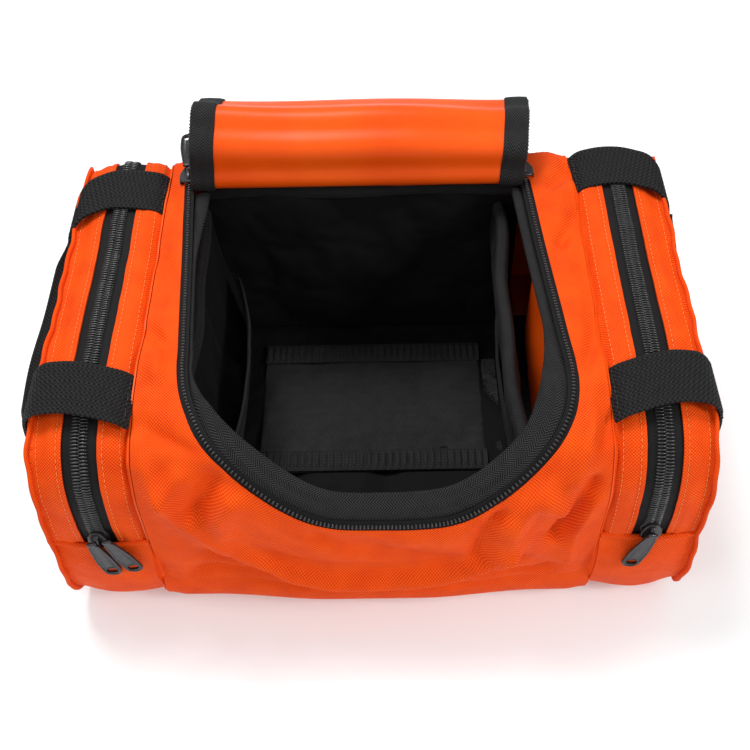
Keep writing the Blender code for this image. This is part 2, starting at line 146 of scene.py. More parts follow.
# Creases of the main cloth: a route of (distance, x) points, its width, and its height before the gain
CREASE_GAIN = 1.5
CREASES = (
    (((0.226, -0.135), (0.266, -0.117), (0.294, -0.098), (0.312, -0.052), (0.316, 0.006), (0.308, 0.045),
      (0.291, 0.082)), 0.0080, 0.0042),
    (((0.310, -0.102), (0.326, -0.052), (0.330, 0.006), (0.322, 0.048), (0.308, 0.088)), 0.0070, -0.0034),
    (((0.262, -0.106), (0.242, -0.098), (0.230, -0.090)), 0.0060, -0.0050),
    (((0.286, -0.092), (0.262, -0.090), (0.246, -0.082)), 0.0080, 0.0044),
    (((0.246, -0.124), (0.232, -0.112)), 0.0060, 0.0036),
    (((0.290, 0.064), (0.264, 0.066), (0.248, 0.074)), 0.0060, -0.0048),
    (((0.286, 0.082), (0.258, 0.084), (0.244, 0.096), (0.256, 0.110)), 0.0085, 0.0052),
    (((0.290, 0.112), (0.268, 0.121), (0.240, 0.130)), 0.0055, -0.0056),
    (((0.256, 0.130), (0.284, 0.122), (0.318, 0.122)), 0.0060, 0.0040),
    (((0.206, 0.127), (0.236, 0.119)), 0.0080, 0.0040),
    (((0.200, 0.139), (0.214, 0.134)), 0.0050, -0.0050),
    (((0.028, 0.141), (0.042, 0.134), (0.058, 0.124)), 0.0045, -0.0034),
    (((0.062, 0.141), (0.076, 0.132)), 0.0100, 0.0022),
    (((0.006, 0.140), (0.018, 0.130)), 0.0100, 0.0022),
    (((0.122, 0.141), (0.142, 0.136), (0.164, 0.126)), 0.0045, -0.0036),
    (((0.154, 0.141), (0.176, 0.134)), 0.0090, 0.0026),
    (((0.100, 0.140), (0.112, 0.130)), 0.0090, 0.0018),
    (((0.125, -0.140), (0.136, -0.128), (0.148, -0.114)), 0.0050, -0.0030),
    (((0.150, -0.140), (0.164, -0.126)), 0.0090, 0.0022),
    (((0.196, -0.140), (0.206, -0.122), (0.214, -0.104)), 0.0055, -0.0034),
    (((0.060, -0.140), (0.074, -0.128)), 0.0060, -0.0026),
    (((0.000, -0.140), (0.020, -0.131)), 0.0070, -0.0036),
    (((-0.012, 0.139), (0.004, 0.126)), 0.006, -0.0036),
    (((-0.012, -0.139), (-0.016, -0.118), (-0.030, -0.100)), 0.007, -0.0036),
    (((0.256, -0.030), (0.276, 0.010), (0.284, 0.040)), 0.010, -0.0030),
    (((0.296, -0.060), (0.300, 0.000), (0.296, 0.050)), 0.010, -0.0026),
    (((0.333, -0.110), (0.334, 0.000), (0.333, 0.110)), 0.006, -0.0030),
    (((-0.060, -0.120), (-0.110, -0.060), (-0.140, 0.030)), 0.014, 0.0030),
    (((-0.050, 0.110), (-0.100, 0.060), (-0.150, 0.020)), 0.012, -0.0026),
)


# ---- Materials ----


class Finish:
    """A Principled material and short calls for adding nodes to it."""

    def __init__(self, name, colour, roughness, **sockets):
        self.made = bpy.data.materials.new(name)
        self.made.use_nodes = True
        self.tree = self.made.node_tree
        self.shader = self.tree.nodes["Principled BSDF"]
        for socket, value in {"Base Color": (*colour, 1), "Roughness": roughness, **sockets}.items():
            self.shader.inputs[socket].default_value = value

    def node(self, kind, settings=None, **inputs):
        """Adds a node and gives its first output; inputs go by their name, or by number as _0 and _1."""
        made = self.tree.nodes.new("ShaderNode" + kind)
        for key, value in (settings or {}).items():
            setattr(made, key, value)
        for key, value in inputs.items():
            socket = made.inputs[int(key[1:]) if key.startswith("_") else key.replace("_", " ")]
            if isinstance(value, bpy.types.NodeSocket):
                self.tree.links.new(value, socket)
            else:
                socket.default_value = value
        return made.outputs[0]

    def math(self, operation, a, b=0.0):
        return self.node("Math", {"operation": operation}, _0=a, _1=b)

    def times(self, a, b):
        return self.math("MULTIPLY", a, b)

    def plus(self, a, b):
        return self.math("ADD", a, b)

    def wave(self, place, pitch):
        """A sine along a coordinate: half a turn per pitch."""
        return self.math("SINE", self.times(place, pi / pitch))

    def place(self, kind):
        """Texture coordinates in metres, whole and split: UV is along and across the cloth."""
        coordinates = self.tree.nodes.new("ShaderNodeTexCoord").outputs[kind]
        split = self.tree.nodes.new("ShaderNodeSeparateXYZ")
        self.tree.links.new(coordinates, split.inputs[0])
        return coordinates, split.outputs

    def noise(self, where, scale, detail=3.0):
        return self.node("TexNoise", Vector=where, Scale=scale, Detail=detail)

    def tint(self, amount, low, high):
        """Base colour from low to high as the amount goes from 0 to 1."""
        mix = self.tree.nodes.new("ShaderNodeMix")
        mix.data_type = "RGBA"
        self.tree.links.new(amount, mix.inputs["Factor"])
        mix.inputs["A"].default_value = (*low, 1)
        mix.inputs["B"].default_value = (*high, 1)
        self.tree.links.new(mix.outputs["Result"], self.shader.inputs["Base Color"])

    def bump(self, height, distance, strength=1.0, below=None):
        inputs = {"Height": height, "Distance": distance, "Strength": strength}
        if below is not None:
            inputs["Normal"] = below
        made = self.node("Bump", **inputs)
        self.tree.links.new(made, self.shader.inputs["Normal"])
        return made

    def roughen(self, amount, low, high):
        spread = self.node("MapRange", Value=amount, To_Min=low, To_Max=high)
        self.tree.links.new(spread, self.shader.inputs["Roughness"])


def plain_weave(finish, kind, pitch):
    """Height of a plain weave, 0 to 1, and the place it is drawn by."""
    where, axes = finish.place(kind)
    warp, weft = finish.wave(axes[0], pitch), finish.wave(axes[1], pitch)
    crossing = finish.times(warp, weft)
    if kind == "Object":
        rise = finish.wave(axes[2], pitch)
        crossing = finish.times(finish.plus(warp, rise), finish.plus(weft, rise))
        crossing = finish.times(crossing, 0.4)
    return where, finish.plus(finish.times(crossing, 0.5), 0.5)


def herringbone(finish, kind, pitch, stripe):
    """Height of a zigzag twill whose slant turns back every stripe."""
    where, axes = finish.place(kind)
    second = axes[1] if kind == "UV" else finish.plus(axes[1], axes[2])
    slant = finish.plus(axes[0], finish.math("PINGPONG", second, stripe))
    return where, finish.plus(finish.times(finish.wave(slant, pitch / 2), 0.5), 0.5)


def woven_orange(name, low, high):
    """Coarse plain-woven nylon, mottled and slightly slubbed."""
    finish = Finish(name, high, 0.55, **{"Sheen Weight": 0.015, "Sheen Roughness": 0.45})
    finish.shader.inputs["Specular IOR Level"].default_value = 0.09
    where, weave = plain_weave(finish, "UV", 0.00098)
    mottle = finish.noise(where, 55.0, 4.0)
    slub = finish.noise(where, 900.0, 2.0)
    amount = finish.plus(finish.times(weave, 0.85), finish.times(mottle, 0.5))
    amount = finish.plus(finish.math("SUBTRACT", amount, 0.22), finish.times(slub, 0.12))
    finish.tint(amount, low, high)
    finish.roughen(weave, 0.70, 0.50)
    soft = finish.bump(mottle, 0.0012, 0.5)
    finish.bump(weave, 0.00030, 0.9, soft)
    return finish.made


def coated_orange(name, low, high):
    """The cloth's coated side: smooth, faintly grained and a little glossy."""
    finish = Finish(name, high, 0.33, **{"Coat Weight": 0.05, "Coat Roughness": 0.3})
    finish.shader.inputs["Specular IOR Level"].default_value = 0.16
    where, weave = plain_weave(finish, "UV", 0.0007)
    swell = finish.noise(where, 14.0, 2.0)
    grain = finish.noise(where, 260.0, 3.0)
    finish.tint(finish.plus(finish.times(swell, 0.9), finish.times(grain, 0.15)), low, high)
    finish.roughen(grain, 0.26, 0.42)
    soft = finish.bump(swell, 0.0025, 0.5)
    finish.bump(weave, 0.00004, 0.6, finish.bump(grain, 0.0002, 0.35, soft))
    return finish.made


def black_cloth(name, kind, pitch, low, high, roughness=0.8, relief=0.00018, pattern=plain_weave):
    """Dusty matt black cloth in a weave of some pitch and relief."""
    finish = Finish(name, high, roughness, **{"Sheen Weight": 0.015, "Sheen Roughness": 0.4})
    finish.shader.inputs["Specular IOR Level"].default_value = 0.14
    where, weave = pattern(finish, kind, pitch)
    dust = finish.noise(where, 120.0, 4.0)
    finish.tint(finish.times(weave, finish.plus(dust, 0.45)), low, high)
    finish.roughen(dust, roughness - 0.12, roughness + 0.1)
    finish.bump(weave, relief, 0.9, finish.bump(dust, 0.0006, 0.4))
    return finish.made


def herringbone_tape(name, kind, low, high):
    """Black tape or panel cloth in a herringbone twill."""

    def pattern(finish, space, pitch):
        return herringbone(finish, space, pitch, 0.0036)

    return black_cloth(name, kind, 0.0018, low, high, 0.66, 0.00045, pattern)


def hard_finish(name, low, high, roughness, wear, metallic=0.0, coat=0.0):
    """Metal or plastic with a fine worn grain."""
    finish = Finish(name, high, roughness, Metallic=metallic, **{"Coat Weight": coat, "Coat Roughness": 0.2})
    where, _ = finish.place("Object")
    grain = finish.noise(where, wear, 5.0)
    cloud = finish.noise(where, wear / 8, 3.0)
    amount = finish.node("ValToRGB", Fac=finish.times(grain, finish.plus(cloud, 0.5)))
    finish.tint(finish.node("RGBToBW", Color=amount), low, high)
    finish.roughen(cloud, roughness - 0.08, roughness + 0.12)
    finish.bump(grain, 0.00006, 0.5)
    return finish.made


def thread(name, low, high):
    """Sewing thread or looped pile, finely fibrous."""
    finish = Finish(name, high, 0.6, **{"Sheen Weight": 0.2})
    where, _ = finish.place("Object")
    fibres = finish.noise(where, 2600.0, 2.0)
    finish.tint(fibres, low, high)
    finish.bump(fibres, 0.0001, 0.7)
    return finish.made


ORANGE = woven_orange("orange_woven_nylon", (0.52, 0.014, 0.001), (1.0, 0.120, 0.004))
COATED = coated_orange("orange_coated_lining", (0.66, 0.040, 0.001), (0.92, 0.120, 0.006))
PADDING = black_cloth("black_padded_nylon", "Object", 0.0010, (0.002, 0.002, 0.002), (0.008, 0.008, 0.009))
TWILL = herringbone_tape("black_twill_panel", "Object", (0.008, 0.008, 0.009), (0.050, 0.050, 0.052))
GATHERED = black_cloth("black_gathered_band", "Object", 0.0013, (0.004, 0.004, 0.005), (0.034, 0.034, 0.036))
BINDING = herringbone_tape("black_herringbone_binding", "UV", (0.001, 0.001, 0.001), (0.036, 0.036, 0.038))
WEBBING = black_cloth(
    "black_webbing", "UV", 0.0015, (0.001, 0.001, 0.001), (0.022, 0.022, 0.023), roughness=0.62, relief=0.0006
)
ZIP_TAPE = black_cloth("zip_tape", "UV", 0.0006, (0.003, 0.003, 0.003), (0.014, 0.014, 0.015), 0.7, 0.0001)
COIL = hard_finish("nylon_coil", (0.008, 0.008, 0.009), (0.026, 0.026, 0.028), 0.28, 900.0, coat=0.35)
METAL = hard_finish("gunmetal", (0.025, 0.025, 0.027), (0.085, 0.085, 0.09), 0.32, 700.0, metallic=0.85)
BOARD = hard_finish("black_board", (0.010, 0.010, 0.010), (0.030, 0.030, 0.030), 0.6, 250.0)
LOOP = thread("loop_pile", (0.004, 0.004, 0.004), (0.030, 0.030, 0.032))
GOLD_THREAD = thread("golden_thread", (0.62, 0.11, 0.01), (0.95, 0.28, 0.03))
BLACK_THREAD = thread("black_thread", (0.004, 0.004, 0.004), (0.03, 0.03, 0.032))


# ---- Curves and surfaces ----


def ease(t):
    """A smooth step from 0 to 1."""
    t = np.clip(t, 0, 1)
    return t * t * (3 - 2 * t)


def through(knots):
    """A smooth function through rows of a parameter and its values."""
    table = np.array(knots, float)
    at, values = table[:, 0], table[:, 1:]
    slopes = np.gradient(values, at, axis=0)

    def value(t):
        t = np.clip(t, at[0], at[-1])
        i = np.clip(np.searchsorted(at, t, side="right") - 1, 0, len(at) - 2)
        step = (at[i + 1] - at[i])[..., None]
        u = (t - at[i])[..., None] / step
        start = values[i] * (1 - u) ** 2 * (1 + 2 * u) + slopes[i] * step * u * (1 - u) ** 2
        end = values[i + 1] * u**2 * (3 - 2 * u) - slopes[i + 1] * step * u**2 * (1 - u)
        return start + end

    return value


def walked(points):
    """The distance along a line of points, at each of them."""
    return np.concatenate([[0], np.cumsum(np.linalg.norm(np.diff(points, axis=0), axis=1))])


def by_length(points):
    """A smooth function through points, of the distance along them; and their length."""
    points = np.array(points, float)
    at = walked(points)
    return through(np.column_stack([at, points])), at[-1]


def frames(surface, s, x):
    """Points of a surface, unit tangents along s and x, and the outward normal."""
    step = 1e-4
    along = surface(s + step, x) - surface(s - step, x)
    across = surface(s, x + step) - surface(s, x - step)
    normal = np.cross(along, across)
    unit = [v / np.maximum(np.linalg.norm(v, axis=-1, keepdims=True), 1e-12) for v in (along, across, normal)]
    return surface(s, x), *unit


def raised(base, relief):
    """A surface moved along its own normal by relief(s, x)."""

    def surface(s, x):
        s, x = np.broadcast_arrays(np.asarray(s, float), np.asarray(x, float))
        point, _, _, normal = frames(base, s, x)
        return point + normal * relief(s, x)[..., None]

    return surface


def fold(s, x, route, width, height):
    """A bell-shaped fold along a route of (s, x) points."""
    nearest = np.full(np.shape(s), 1.0)
    for (s0, x0), (s1, x1) in zip(route, route[1:]):
        ds, dx = s1 - s0, x1 - x0
        t = np.clip(((s - s0) * ds + (x - x0) * dx) / (ds * ds + dx * dx), 0, 1)
        nearest = np.minimum(nearest, np.hypot(s - s0 - t * ds, x - x0 - t * dx))
    return height * np.exp(-((nearest / width) ** 2))


def ripples(s, x, height, size, seed):
    """Gentle unevenness, made of a few crossing waves."""
    chance = np.random.default_rng(seed)
    total = np.zeros(np.shape(s))
    for _ in range(7):
        angle, phase, stretch = chance.uniform(0, pi), chance.uniform(0, 2 * pi), chance.uniform(0.6, 1.7)
        reach = 2 * pi * stretch / size
        bend = np.sin(s * reach * 0.37 + x * reach * 0.23 + phase)
        total += np.sin((s * cos(angle) + x * sin(angle)) * reach + phase + bend) / stretch
    return height * total / 7


def main_base(s, x):
    """The main cloth before its folds: slack in the middle and held up beside the end pockets."""
    beside, middle = through(BESIDE_OPENING)(s), through(MIDDLE_OF_OPENING)(s)
    held = ease((np.abs(x - 0.010) - 0.030) / 0.085)[..., None]
    place = middle * (1 - held) + beside * held
    return np.stack([x, place[..., 0], place[..., 1]], axis=-1)


def beyond_zip(s, x):
    """Roughly how far a place on the cloth is outside the D-shaped zip."""
    across = np.abs(x - leaned(0, s)) / ZIP_HALF
    ahead = np.clip((s - ZIP_STRAIGHT) / (ZIP_REACH - ZIP_STRAIGHT), 0, None)
    return ((across**D_POWER + ahead**D_POWER) ** (1 / D_POWER) - 1) * D_SPREAD


def main_relief(s, x):
    """Folds and ripples of the main cloth, quiet along the zip and drawn in at the pocket seams."""
    total = CREASE_GAIN * sum(fold(s, x, *crease) for crease in CREASES)
    total = total + ripples(s, x, 0.0022, 0.060, 3) + ripples(s, x, 0.0009, 0.018, 5)
    total = total * (0.2 + 0.8 * ease((beyond_zip(s, x) - 0.003) / 0.012))
    near_seam = ease((np.abs(x) - TUCK_START) / TUCK_LENGTH)
    return total * (1 - 0.5 * near_seam) - 0.0026 * near_seam


def base_surface(s, x):
    """The base tray, which bulges forward a little below its front edge."""
    place = through(UNDERSIDE)(s)
    tuck = ease((np.abs(x) - TUCK_START) / TUCK_LENGTH)
    near_front = ease((s + 0.004) / 0.012) * ease((0.045 - s) / 0.03)
    slack = ease((0.11 - np.abs(x)) / 0.08) * near_front * 0.0060
    y = place[..., 0] - slack + np.sign(place[..., 0]) * -0.0012 * tuck
    return np.stack([x, y, place[..., 1] + 0.0015 * tuck], axis=-1)


def pocket_surface(points, sign):
    """One end pocket's wrapped cloth through (y, z) points: x runs from the main seam to the outer edge."""
    line, length = by_length(points)

    def base(s, x):
        place = line(s)
        return np.stack([x, place[..., 0], place[..., 1]], axis=-1)

    def relief(s, x):
        share = (np.abs(x) - POCKET_LOW.x) / (POCKET_HIGH.x - POCKET_LOW.x)
        crown = 0.0030 * np.sin(pi * np.clip(share, 0, 1)) - 0.0014
        sag = -0.0045 * ease((share - 0.55) / 0.45) * np.sin(pi * s / length)
        uneven = ripples(s, x, 0.0012, 0.045, 11 + sign) + ripples(s, x, 0.0005, 0.016, 17 + sign)
        return (crown + sag + uneven) * (0.2 + 0.8 * ease((length - s) / 0.032))

    return raised(base, relief), length


def leaned(x, distance):
    """x in the skewed D."""
    return x + np.minimum(LEAN_AT_HINGE + LEAN_RATE * distance, LEAN_LIMIT)


def d_half(distance, inset):
    """Half the D's width at a distance from the hinge line, before it leans."""
    share = np.clip((distance - ZIP_STRAIGHT) / (ZIP_REACH - inset - ZIP_STRAIGHT), 0, 1)
    return (ZIP_HALF - inset) * (1 - share**D_POWER) ** (1 / D_POWER)


def d_route(inset, start, count):
    """Evenly spaced (distance, x) points of the D, from its rear left end, round the front, to the right."""
    half, reach = ZIP_HALF - inset, ZIP_REACH - inset - ZIP_STRAIGHT
    angle = np.linspace(0, pi, 400)
    across = -np.cos(angle)
    x = half * np.sign(across) * np.abs(across) ** (2 / D_POWER)
    distance = ZIP_STRAIGHT + reach * np.sin(angle) ** (2 / D_POWER)
    side = np.linspace(start, ZIP_STRAIGHT, 60)[:-1]
    s = np.concatenate([side, distance, side[::-1]])
    x = np.concatenate([np.full(len(side), -half), x, np.full(len(side), half)])
    return resample(np.column_stack([s, leaned(x, s)]), count)


def resample(route, count):
    """Evenly spaced points along a line of points."""
    route = np.asarray(route, float)
    at = walked(route)
    even = np.linspace(0, at[-1], count)
    return np.column_stack([np.interp(even, at, column) for column in route.T])


# ---- Meshes ----


def grid_faces(rows, columns, wrap_rows=False, wrap_columns=False):
    index = np.arange(rows * columns).reshape(rows, columns)
    if wrap_rows:
        index = np.vstack([index, index[:1]])
    if wrap_columns:
        index = np.hstack([index, index[:, :1]])
    corners = (index[:-1, :-1], index[1:, :-1], index[1:, 1:], index[:-1, 1:])
    return np.stack(corners, axis=-1).reshape(-1, 4).tolist()


def tube_faces(rings, count):
    """Faces of a tube of rings, each of count points, with both ends closed."""
    last = (rings - 1) * count
    faces = grid_faces(rings, count, False, True)
    faces.append(list(range(count)))
    faces.append([last + k for k in range(count)][::-1])
    return faces


def add_mesh(name, points, faces, finish, uvs=None):
    mesh = bpy.data.meshes.new(name)
    mesh.from_pydata(np.asarray(points).reshape(-1, 3).tolist(), [], faces)
    if uvs is not None:
        corners = np.zeros(len(mesh.loops), np.int32)
        mesh.loops.foreach_get("vertex_index", corners)
        at_corners = np.asarray(uvs, float).reshape(-1, 2)[corners]
        layer = mesh.uv_layers.new(name="metres")
        layer.data.foreach_set("uv", at_corners.astype(np.float32).ravel())
    mesh.materials.append(finish)
    obj = bpy.data.objects.new(name, mesh)
    bpy.context.scene.collection.objects.link(obj)
    mesh.shade_smooth()
    return obj


def settle(obj):
    """Applies an object's modifiers."""
    graph = bpy.context.evaluated_depsgraph_get()
    obj.data = bpy.data.meshes.new_from_object(obj.evaluated_get(graph))
    obj.modifiers.clear()
    obj.data.name = obj.name
    obj.data.set_sharp_from_angle(angle=radians(45))
    return obj


def thicken(obj, thickness, lining):
    """Gives a cloth its thickness on its inner side, and a lining there."""
    if lining is not None:
        obj.data.materials.append(lining)
    solid = obj.modifiers.new("thickness", "SOLIDIFY")
    solid.thickness = thickness
    solid.offset = -1
    solid.use_even_offset = False
    solid.material_offset = 0 if lining is None else 1
    return settle(obj)


def patch(name, surface, s, x, finish, thickness, lining=None):
    """A cloth over a grid of s by x values of a surface."""
    s, x = np.meshgrid(s, x, indexing="ij")
    obj = add_mesh(name, surface(s, x), grid_faces(*s.shape), finish, np.stack([s, x], axis=-1))
    return thicken(obj, thickness, lining)


def sweep(name, surface, route, section, finish, lift=0.0, width=None):
    """Carries a closed section of (across, out) points along a route of (s, x) points on a surface.

    Where a width is given for each point of the route, the section's own width is taken as 1.
    """
    s, x = np.asarray(route).T
    points, _, _, normals = frames(surface, s, x)
    across = np.cross(normals, np.gradient(points, axis=0))
    across /= np.linalg.norm(across, axis=1, keepdims=True)
    section = np.asarray(section, float)
    size = np.ones(len(points)) if width is None else width
    rings = (
        points[:, None]
        + across[:, None] * (section[None, :, :1] * size[:, None, None])
        + normals[:, None] * (section[None, :, 1:] + lift)
    )
    uvs = np.stack(np.broadcast_arrays(walked(points)[:, None], walked(section) * size[:, None]), axis=-1)
    obj = add_mesh(name, rings, tube_faces(len(points), len(section)), finish, uvs)
    obj.data.set_sharp_from_angle(angle=radians(50))
    return recalculate(obj)


def oval(across, out, middle, count=16):
    """An oval section of (across, out) points."""
    return [(across * cos(t), middle + out * sin(t)) for t in np.linspace(0, 2 * pi, count + 1)[:-1]]


def flat_section(width, thickness, crown, shift=0.0):
    """A strip's section: flat below, and crowned by some height above."""
    half, steps = width / 2, 8
    top = [(half - width * i / steps, thickness + crown * sin(pi * i / steps)) for i in range(steps + 1)]
    bottom = [(-half + width * i / 4, 0.0) for i in range(5)]
    return [(a + shift, o) for a, o in bottom + top]


def capsule(length, width, height, bow=0.0, rings=5, sides=6):
    """Points and faces of a small rounded bar along its first axis, its middle bowed up."""
    points = []
    for i in range(rings):
        share = -1 + 2 * i / (rings - 1)
        size = sqrt(max(0.12, 1 - abs(share) ** 4))
        for k in range(sides):
            angle = 2 * pi * k / sides
            up = height / 2 * size * sin(angle) + bow * (1 - share * share)
            points.append((share * length / 2, width / 2 * size * cos(angle), up))
    return np.array(points), tube_faces(rings, sides)


def scatter(name, template, places, first, second, third, finish):
    """Many copies of a closed template, each at a place with its own three axes, in one mesh."""
    points, faces = template
    axes = np.stack([first, second, third], axis=1)
    all_points = places[:, None] + np.einsum("pk,nkc->npc", points, axes)
    faces = [[v + n * len(points) for v in face] for n in range(len(places)) for face in faces]
    return recalculate(add_mesh(name, all_points, faces, finish))


def recalculate(obj):
    """Turns every face of a closed mesh outwards."""
    bpy.context.view_layer.objects.active = obj
    obj.select_set(True)
    bpy.ops.object.mode_set(mode="EDIT")
    bpy.ops.mesh.select_all(action="SELECT")
    bpy.ops.mesh.normals_make_consistent(inside=False)
    bpy.ops.object.mode_set(mode="OBJECT")
    obj.select_set(False)
    return obj


def stations(surface, route, pitch):
    """Places at every pitch along a route of (s, x) points on a surface, with their three directions."""
    s, x = np.asarray(route).T
    count = max(2, int(walked(surface(s, x))[-1] / pitch))
    s, x = resample(route, count).T
    place, _, _, normal = frames(surface, s, x)
    along = np.gradient(place, axis=0)
    along /= np.linalg.norm(along, axis=1, keepdims=True)
    return place, along, np.cross(normal, along), normal


def stitches(name, surface, routes, finish=GOLD_THREAD, lift=0.0002, pitch=STITCH_PITCH):
    """Rows of stitches along routes of (s, x) points on a surface."""
    rows = [stations(surface, route, pitch) for route in routes]
    place, along, across, normal = (np.concatenate(column) for column in zip(*rows))
    shape = capsule(STITCH_LENGTH, 0.00055, 0.00050, bow=0.00012)
    return scatter(name, shape, place + normal * lift, along, across, normal, finish)


def coil_teeth(name, surface, route, out_by, reach, lift, pitch=TOOTH_PITCH, offset=0.0):
    """One side's coil: teeth every pitch along the route, each reaching across it to the meeting line."""
    place, along, across, normal = stations(surface, route, pitch)
    place = place + across * out_by + normal * lift + along * offset
    shape = capsule(reach, 0.00125, 0.0013, bow=0.0004, rings=6)
    return scatter(name, shape, place, across, -along, normal, COIL)


def attach(obj, slot, body="bag", *nodes):
    """Rides on a body and stands for CAD nodes; the slot is not used."""
    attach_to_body(obj, body)
    if nodes:
        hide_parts(*nodes)
    return obj


# ---- The main body ----


def main_shell(surface):
    """The wrapped cloth: rings of points from the edge of the D-shaped hole out to the cloth's own edges."""
    middle = np.array([0.110, 0.0])
    hole = d_route(CLOTH_EDGE, HOLE_START, 400)
    hinge_side = np.linspace(hole[-1, 1], hole[0, 1], 42)[1:-1]
    hole = np.vstack([hole, np.column_stack([np.full(len(hinge_side), HOLE_START), hinge_side])])
    bearing = np.arctan2(hole[:, 1] - middle[1], hole[:, 0] - middle[0])
    order = np.argsort(bearing)
    reach = np.linalg.norm(hole - middle, axis=1)[order]
    low = np.array([BESIDE_OPENING[0][0], -HALF]) - middle
    high = np.array([BESIDE_OPENING[-1][0], HALF]) - middle
    corners = [np.arctan2(x, s) for s in (low[0], high[0]) for x in (low[1], high[1])]
    turn = np.sort(np.concatenate([np.linspace(-pi, pi, 420, endpoint=False), corners]))
    direction = np.column_stack([np.cos(turn), np.sin(turn)])
    inner = np.interp(turn, bearing[order], reach, period=2 * pi)
    to_edges = np.where(direction > 0, high, low) / np.where(direction == 0, 1e-9, direction)
    outer = np.abs(to_edges).min(axis=1)
    share = np.linspace(0, 1, 46)[:, None] ** 1.15
    distance = inner + (outer - inner) * share
    flat = middle + distance[..., None] * direction
    points = surface(flat[..., 0], flat[..., 1])
    obj = add_mesh("main_shell", points, grid_faces(len(share), len(turn), False, True), ORANGE, flat)
    attach(thicken(obj, SHELL, COATED), "orange_nylon", "bag", "main_panel")


def base_tray():
    """The bottom cloth with its turned-up edges."""
    s = np.linspace(UNDERSIDE[0][0], UNDERSIDE[-1][0], 140)
    tray = patch("base_cloth", base_surface, s, np.linspace(-HALF, HALF, 420), ORANGE, SHELL, COATED)
    attach(tray, "orange_nylon", "bag", "base_tray")


# ---- Zips ----


def main_zip(surface):
    """The body's half of the lid zip."""
    route = d_route(0.0, ZIP_BEHIND, 300)
    tape = flat_section(0.0080, TAPE, 0.0001, shift=-0.0004)
    made = sweep("main_zip_tape", surface, route, tape, ZIP_TAPE, lift=-0.0018)
    attach(made, "coil_zip", "bag", "main_zip")
    teeth = coil_teeth("main_zip_teeth", surface, route, 0.0004, 0.0027, 0.0004, pitch=0.00245)
    attach(teeth, "coil_zip")


def opening_ring(surface):
    """The rolled binding that covers the zip's seam inside the opening: broad in front, narrow behind."""
    outer, inner = (d_route(inset, 0.004, 260) for inset in RING_INSETS)
    left = outer[:, 1] < 0
    frontness = ease((outer[:, 0] - np.where(left, 0.155, 0.120)) / 0.080)
    rearness = ease((0.075 - outer[:, 0]) / 0.075)
    beside = np.where(left, 0.0036 + 0.0085 * rearness, 0.0084)
    width = beside + np.where(left, 0.0150, 0.0104) * frontness
    middle = outer + (inner - outer) * (width / (2 * (RING_INSETS[1] - RING_INSETS[0])))[:, None]
    drop = RING_SLOPE * 0.007
    flat = [(a / 2, drop * (a + 1) - 0.0006) for a in np.linspace(-1, 1, 7)]
    turns = np.linspace(0, pi, 14)
    round_top = [(cos(t) / 2, 0.0030 * sin(t) + drop * (cos(t) + 1) + 0.0002) for t in turns]
    section = [(-a, out) for a, out in flat + round_top]
    lift = (-0.0042 + 0.0024 * frontness)[:, None, None]
    binding = sweep("opening_binding", surface, middle, section, BINDING, lift, width)
    attach(binding, "black_webbing", "bag", "insert_front_binding")


# ---- End pockets ----


def end_pocket(side, sign, main_surface):
    """One end pocket: its cloths, zip, end panel, dividing wall and seams."""
    over, length = pocket_surface(POCKET_OVER, sign)
    under, under_length = pocket_surface(POCKET_UNDER, sign)
    gusset_strips(side, sign, over, length)
    lower_cloth(side, sign, under, under_length)
    pocket_stitching(side, sign, over, length)
    pocket_zip(side, sign, over, length)
    outer, inner = (
        outline_points(over, length, under, under_length, sign * x) for x in (POCKET_FAR, POCKET_NEAR)
    )
    end_panel(side, sign, outer)
    outer_seam(side, sign, outer)
    joined = seam_line(main_surface, inner, sign)
    dividing_wall(side, sign, joined)
    inner_seam(side, sign, joined)


def hems(_, x):
    """Relief of the strips: raised hems beside the zip, and the edge that dips into the main seam."""
    from_tape = np.abs(np.abs(x) - ZIP_X) - TAPE_EDGE
    beside_zip = np.exp(-(((from_tape - 0.0012) / 0.0016) ** 2))
    into_seam = ease((POCKET_NEAR + 0.006 - np.abs(x)) / 0.006)
    between = np.exp(-(((from_tape - 0.0075) / 0.004) ** 2))
    return 0.0009 * beside_zip - 0.0030 * into_seam + 0.0010 * between


def gusset_strips(side, sign, over, length):
    """The strips of cloth on both sides of the pocket's zip."""
    s = np.linspace(0, length, 170)
    strips = {"inner": (POCKET_NEAR, ZIP_X - TAPE_EDGE), "outer": (ZIP_X + TAPE_EDGE, POCKET_FAR)}
    for place, ends in strips.items():
        x = np.linspace(*sorted(sign * end for end in ends), 18)
        strip = patch(f"{side}_{place}_strip", raised(over, hems), s, x, ORANGE, 0.0016, COATED)
        attach(strip, "orange_nylon", "bag", f"{side}_gusset_{place}_strip")


def lower_cloth(side, sign, under, length):
    """The cloth round the pocket's lower half, and the seams where it meets the strips."""
    x = np.linspace(*sorted((sign * POCKET_NEAR, sign * POCKET_FAR)), 34)
    lower = patch(f"{side}_lower_cloth", under, np.linspace(0, length, 170), x, ORANGE, SHELL, COATED)
    attach(lower, "orange_nylon", "bag", f"{side}_lower_gusset")
    for end, reach in (("front", 0.0012), ("rear", length - 0.0012)):
        route = np.column_stack([np.full(24, reach), np.linspace(x[0], x[-1], 24)])
        seam = sweep(f"{side}_{end}_seam", under, route, flat_section(0.0042, 0.0006, 0.0014), ORANGE)
        attach(seam, "orange_nylon")


def pocket_stitching(side, sign, over, length):
    """Four rows of stitches along the strips: at each one's seam and hem."""
    inset = 0.004
    along = [inset, *np.linspace(0, length, 170)[3:-3], length - inset]
    rows = (POCKET_NEAR + 0.0052, ZIP_X - TAPE_EDGE - 0.0030, ZIP_X + TAPE_EDGE + 0.0030, POCKET_FAR - 0.0040)
    routes = [[(v, sign * row) for v in along] for row in rows]
    attach(stitches(f"{side}_pocket_stitching", raised(over, hems), routes), "orange_nylon")


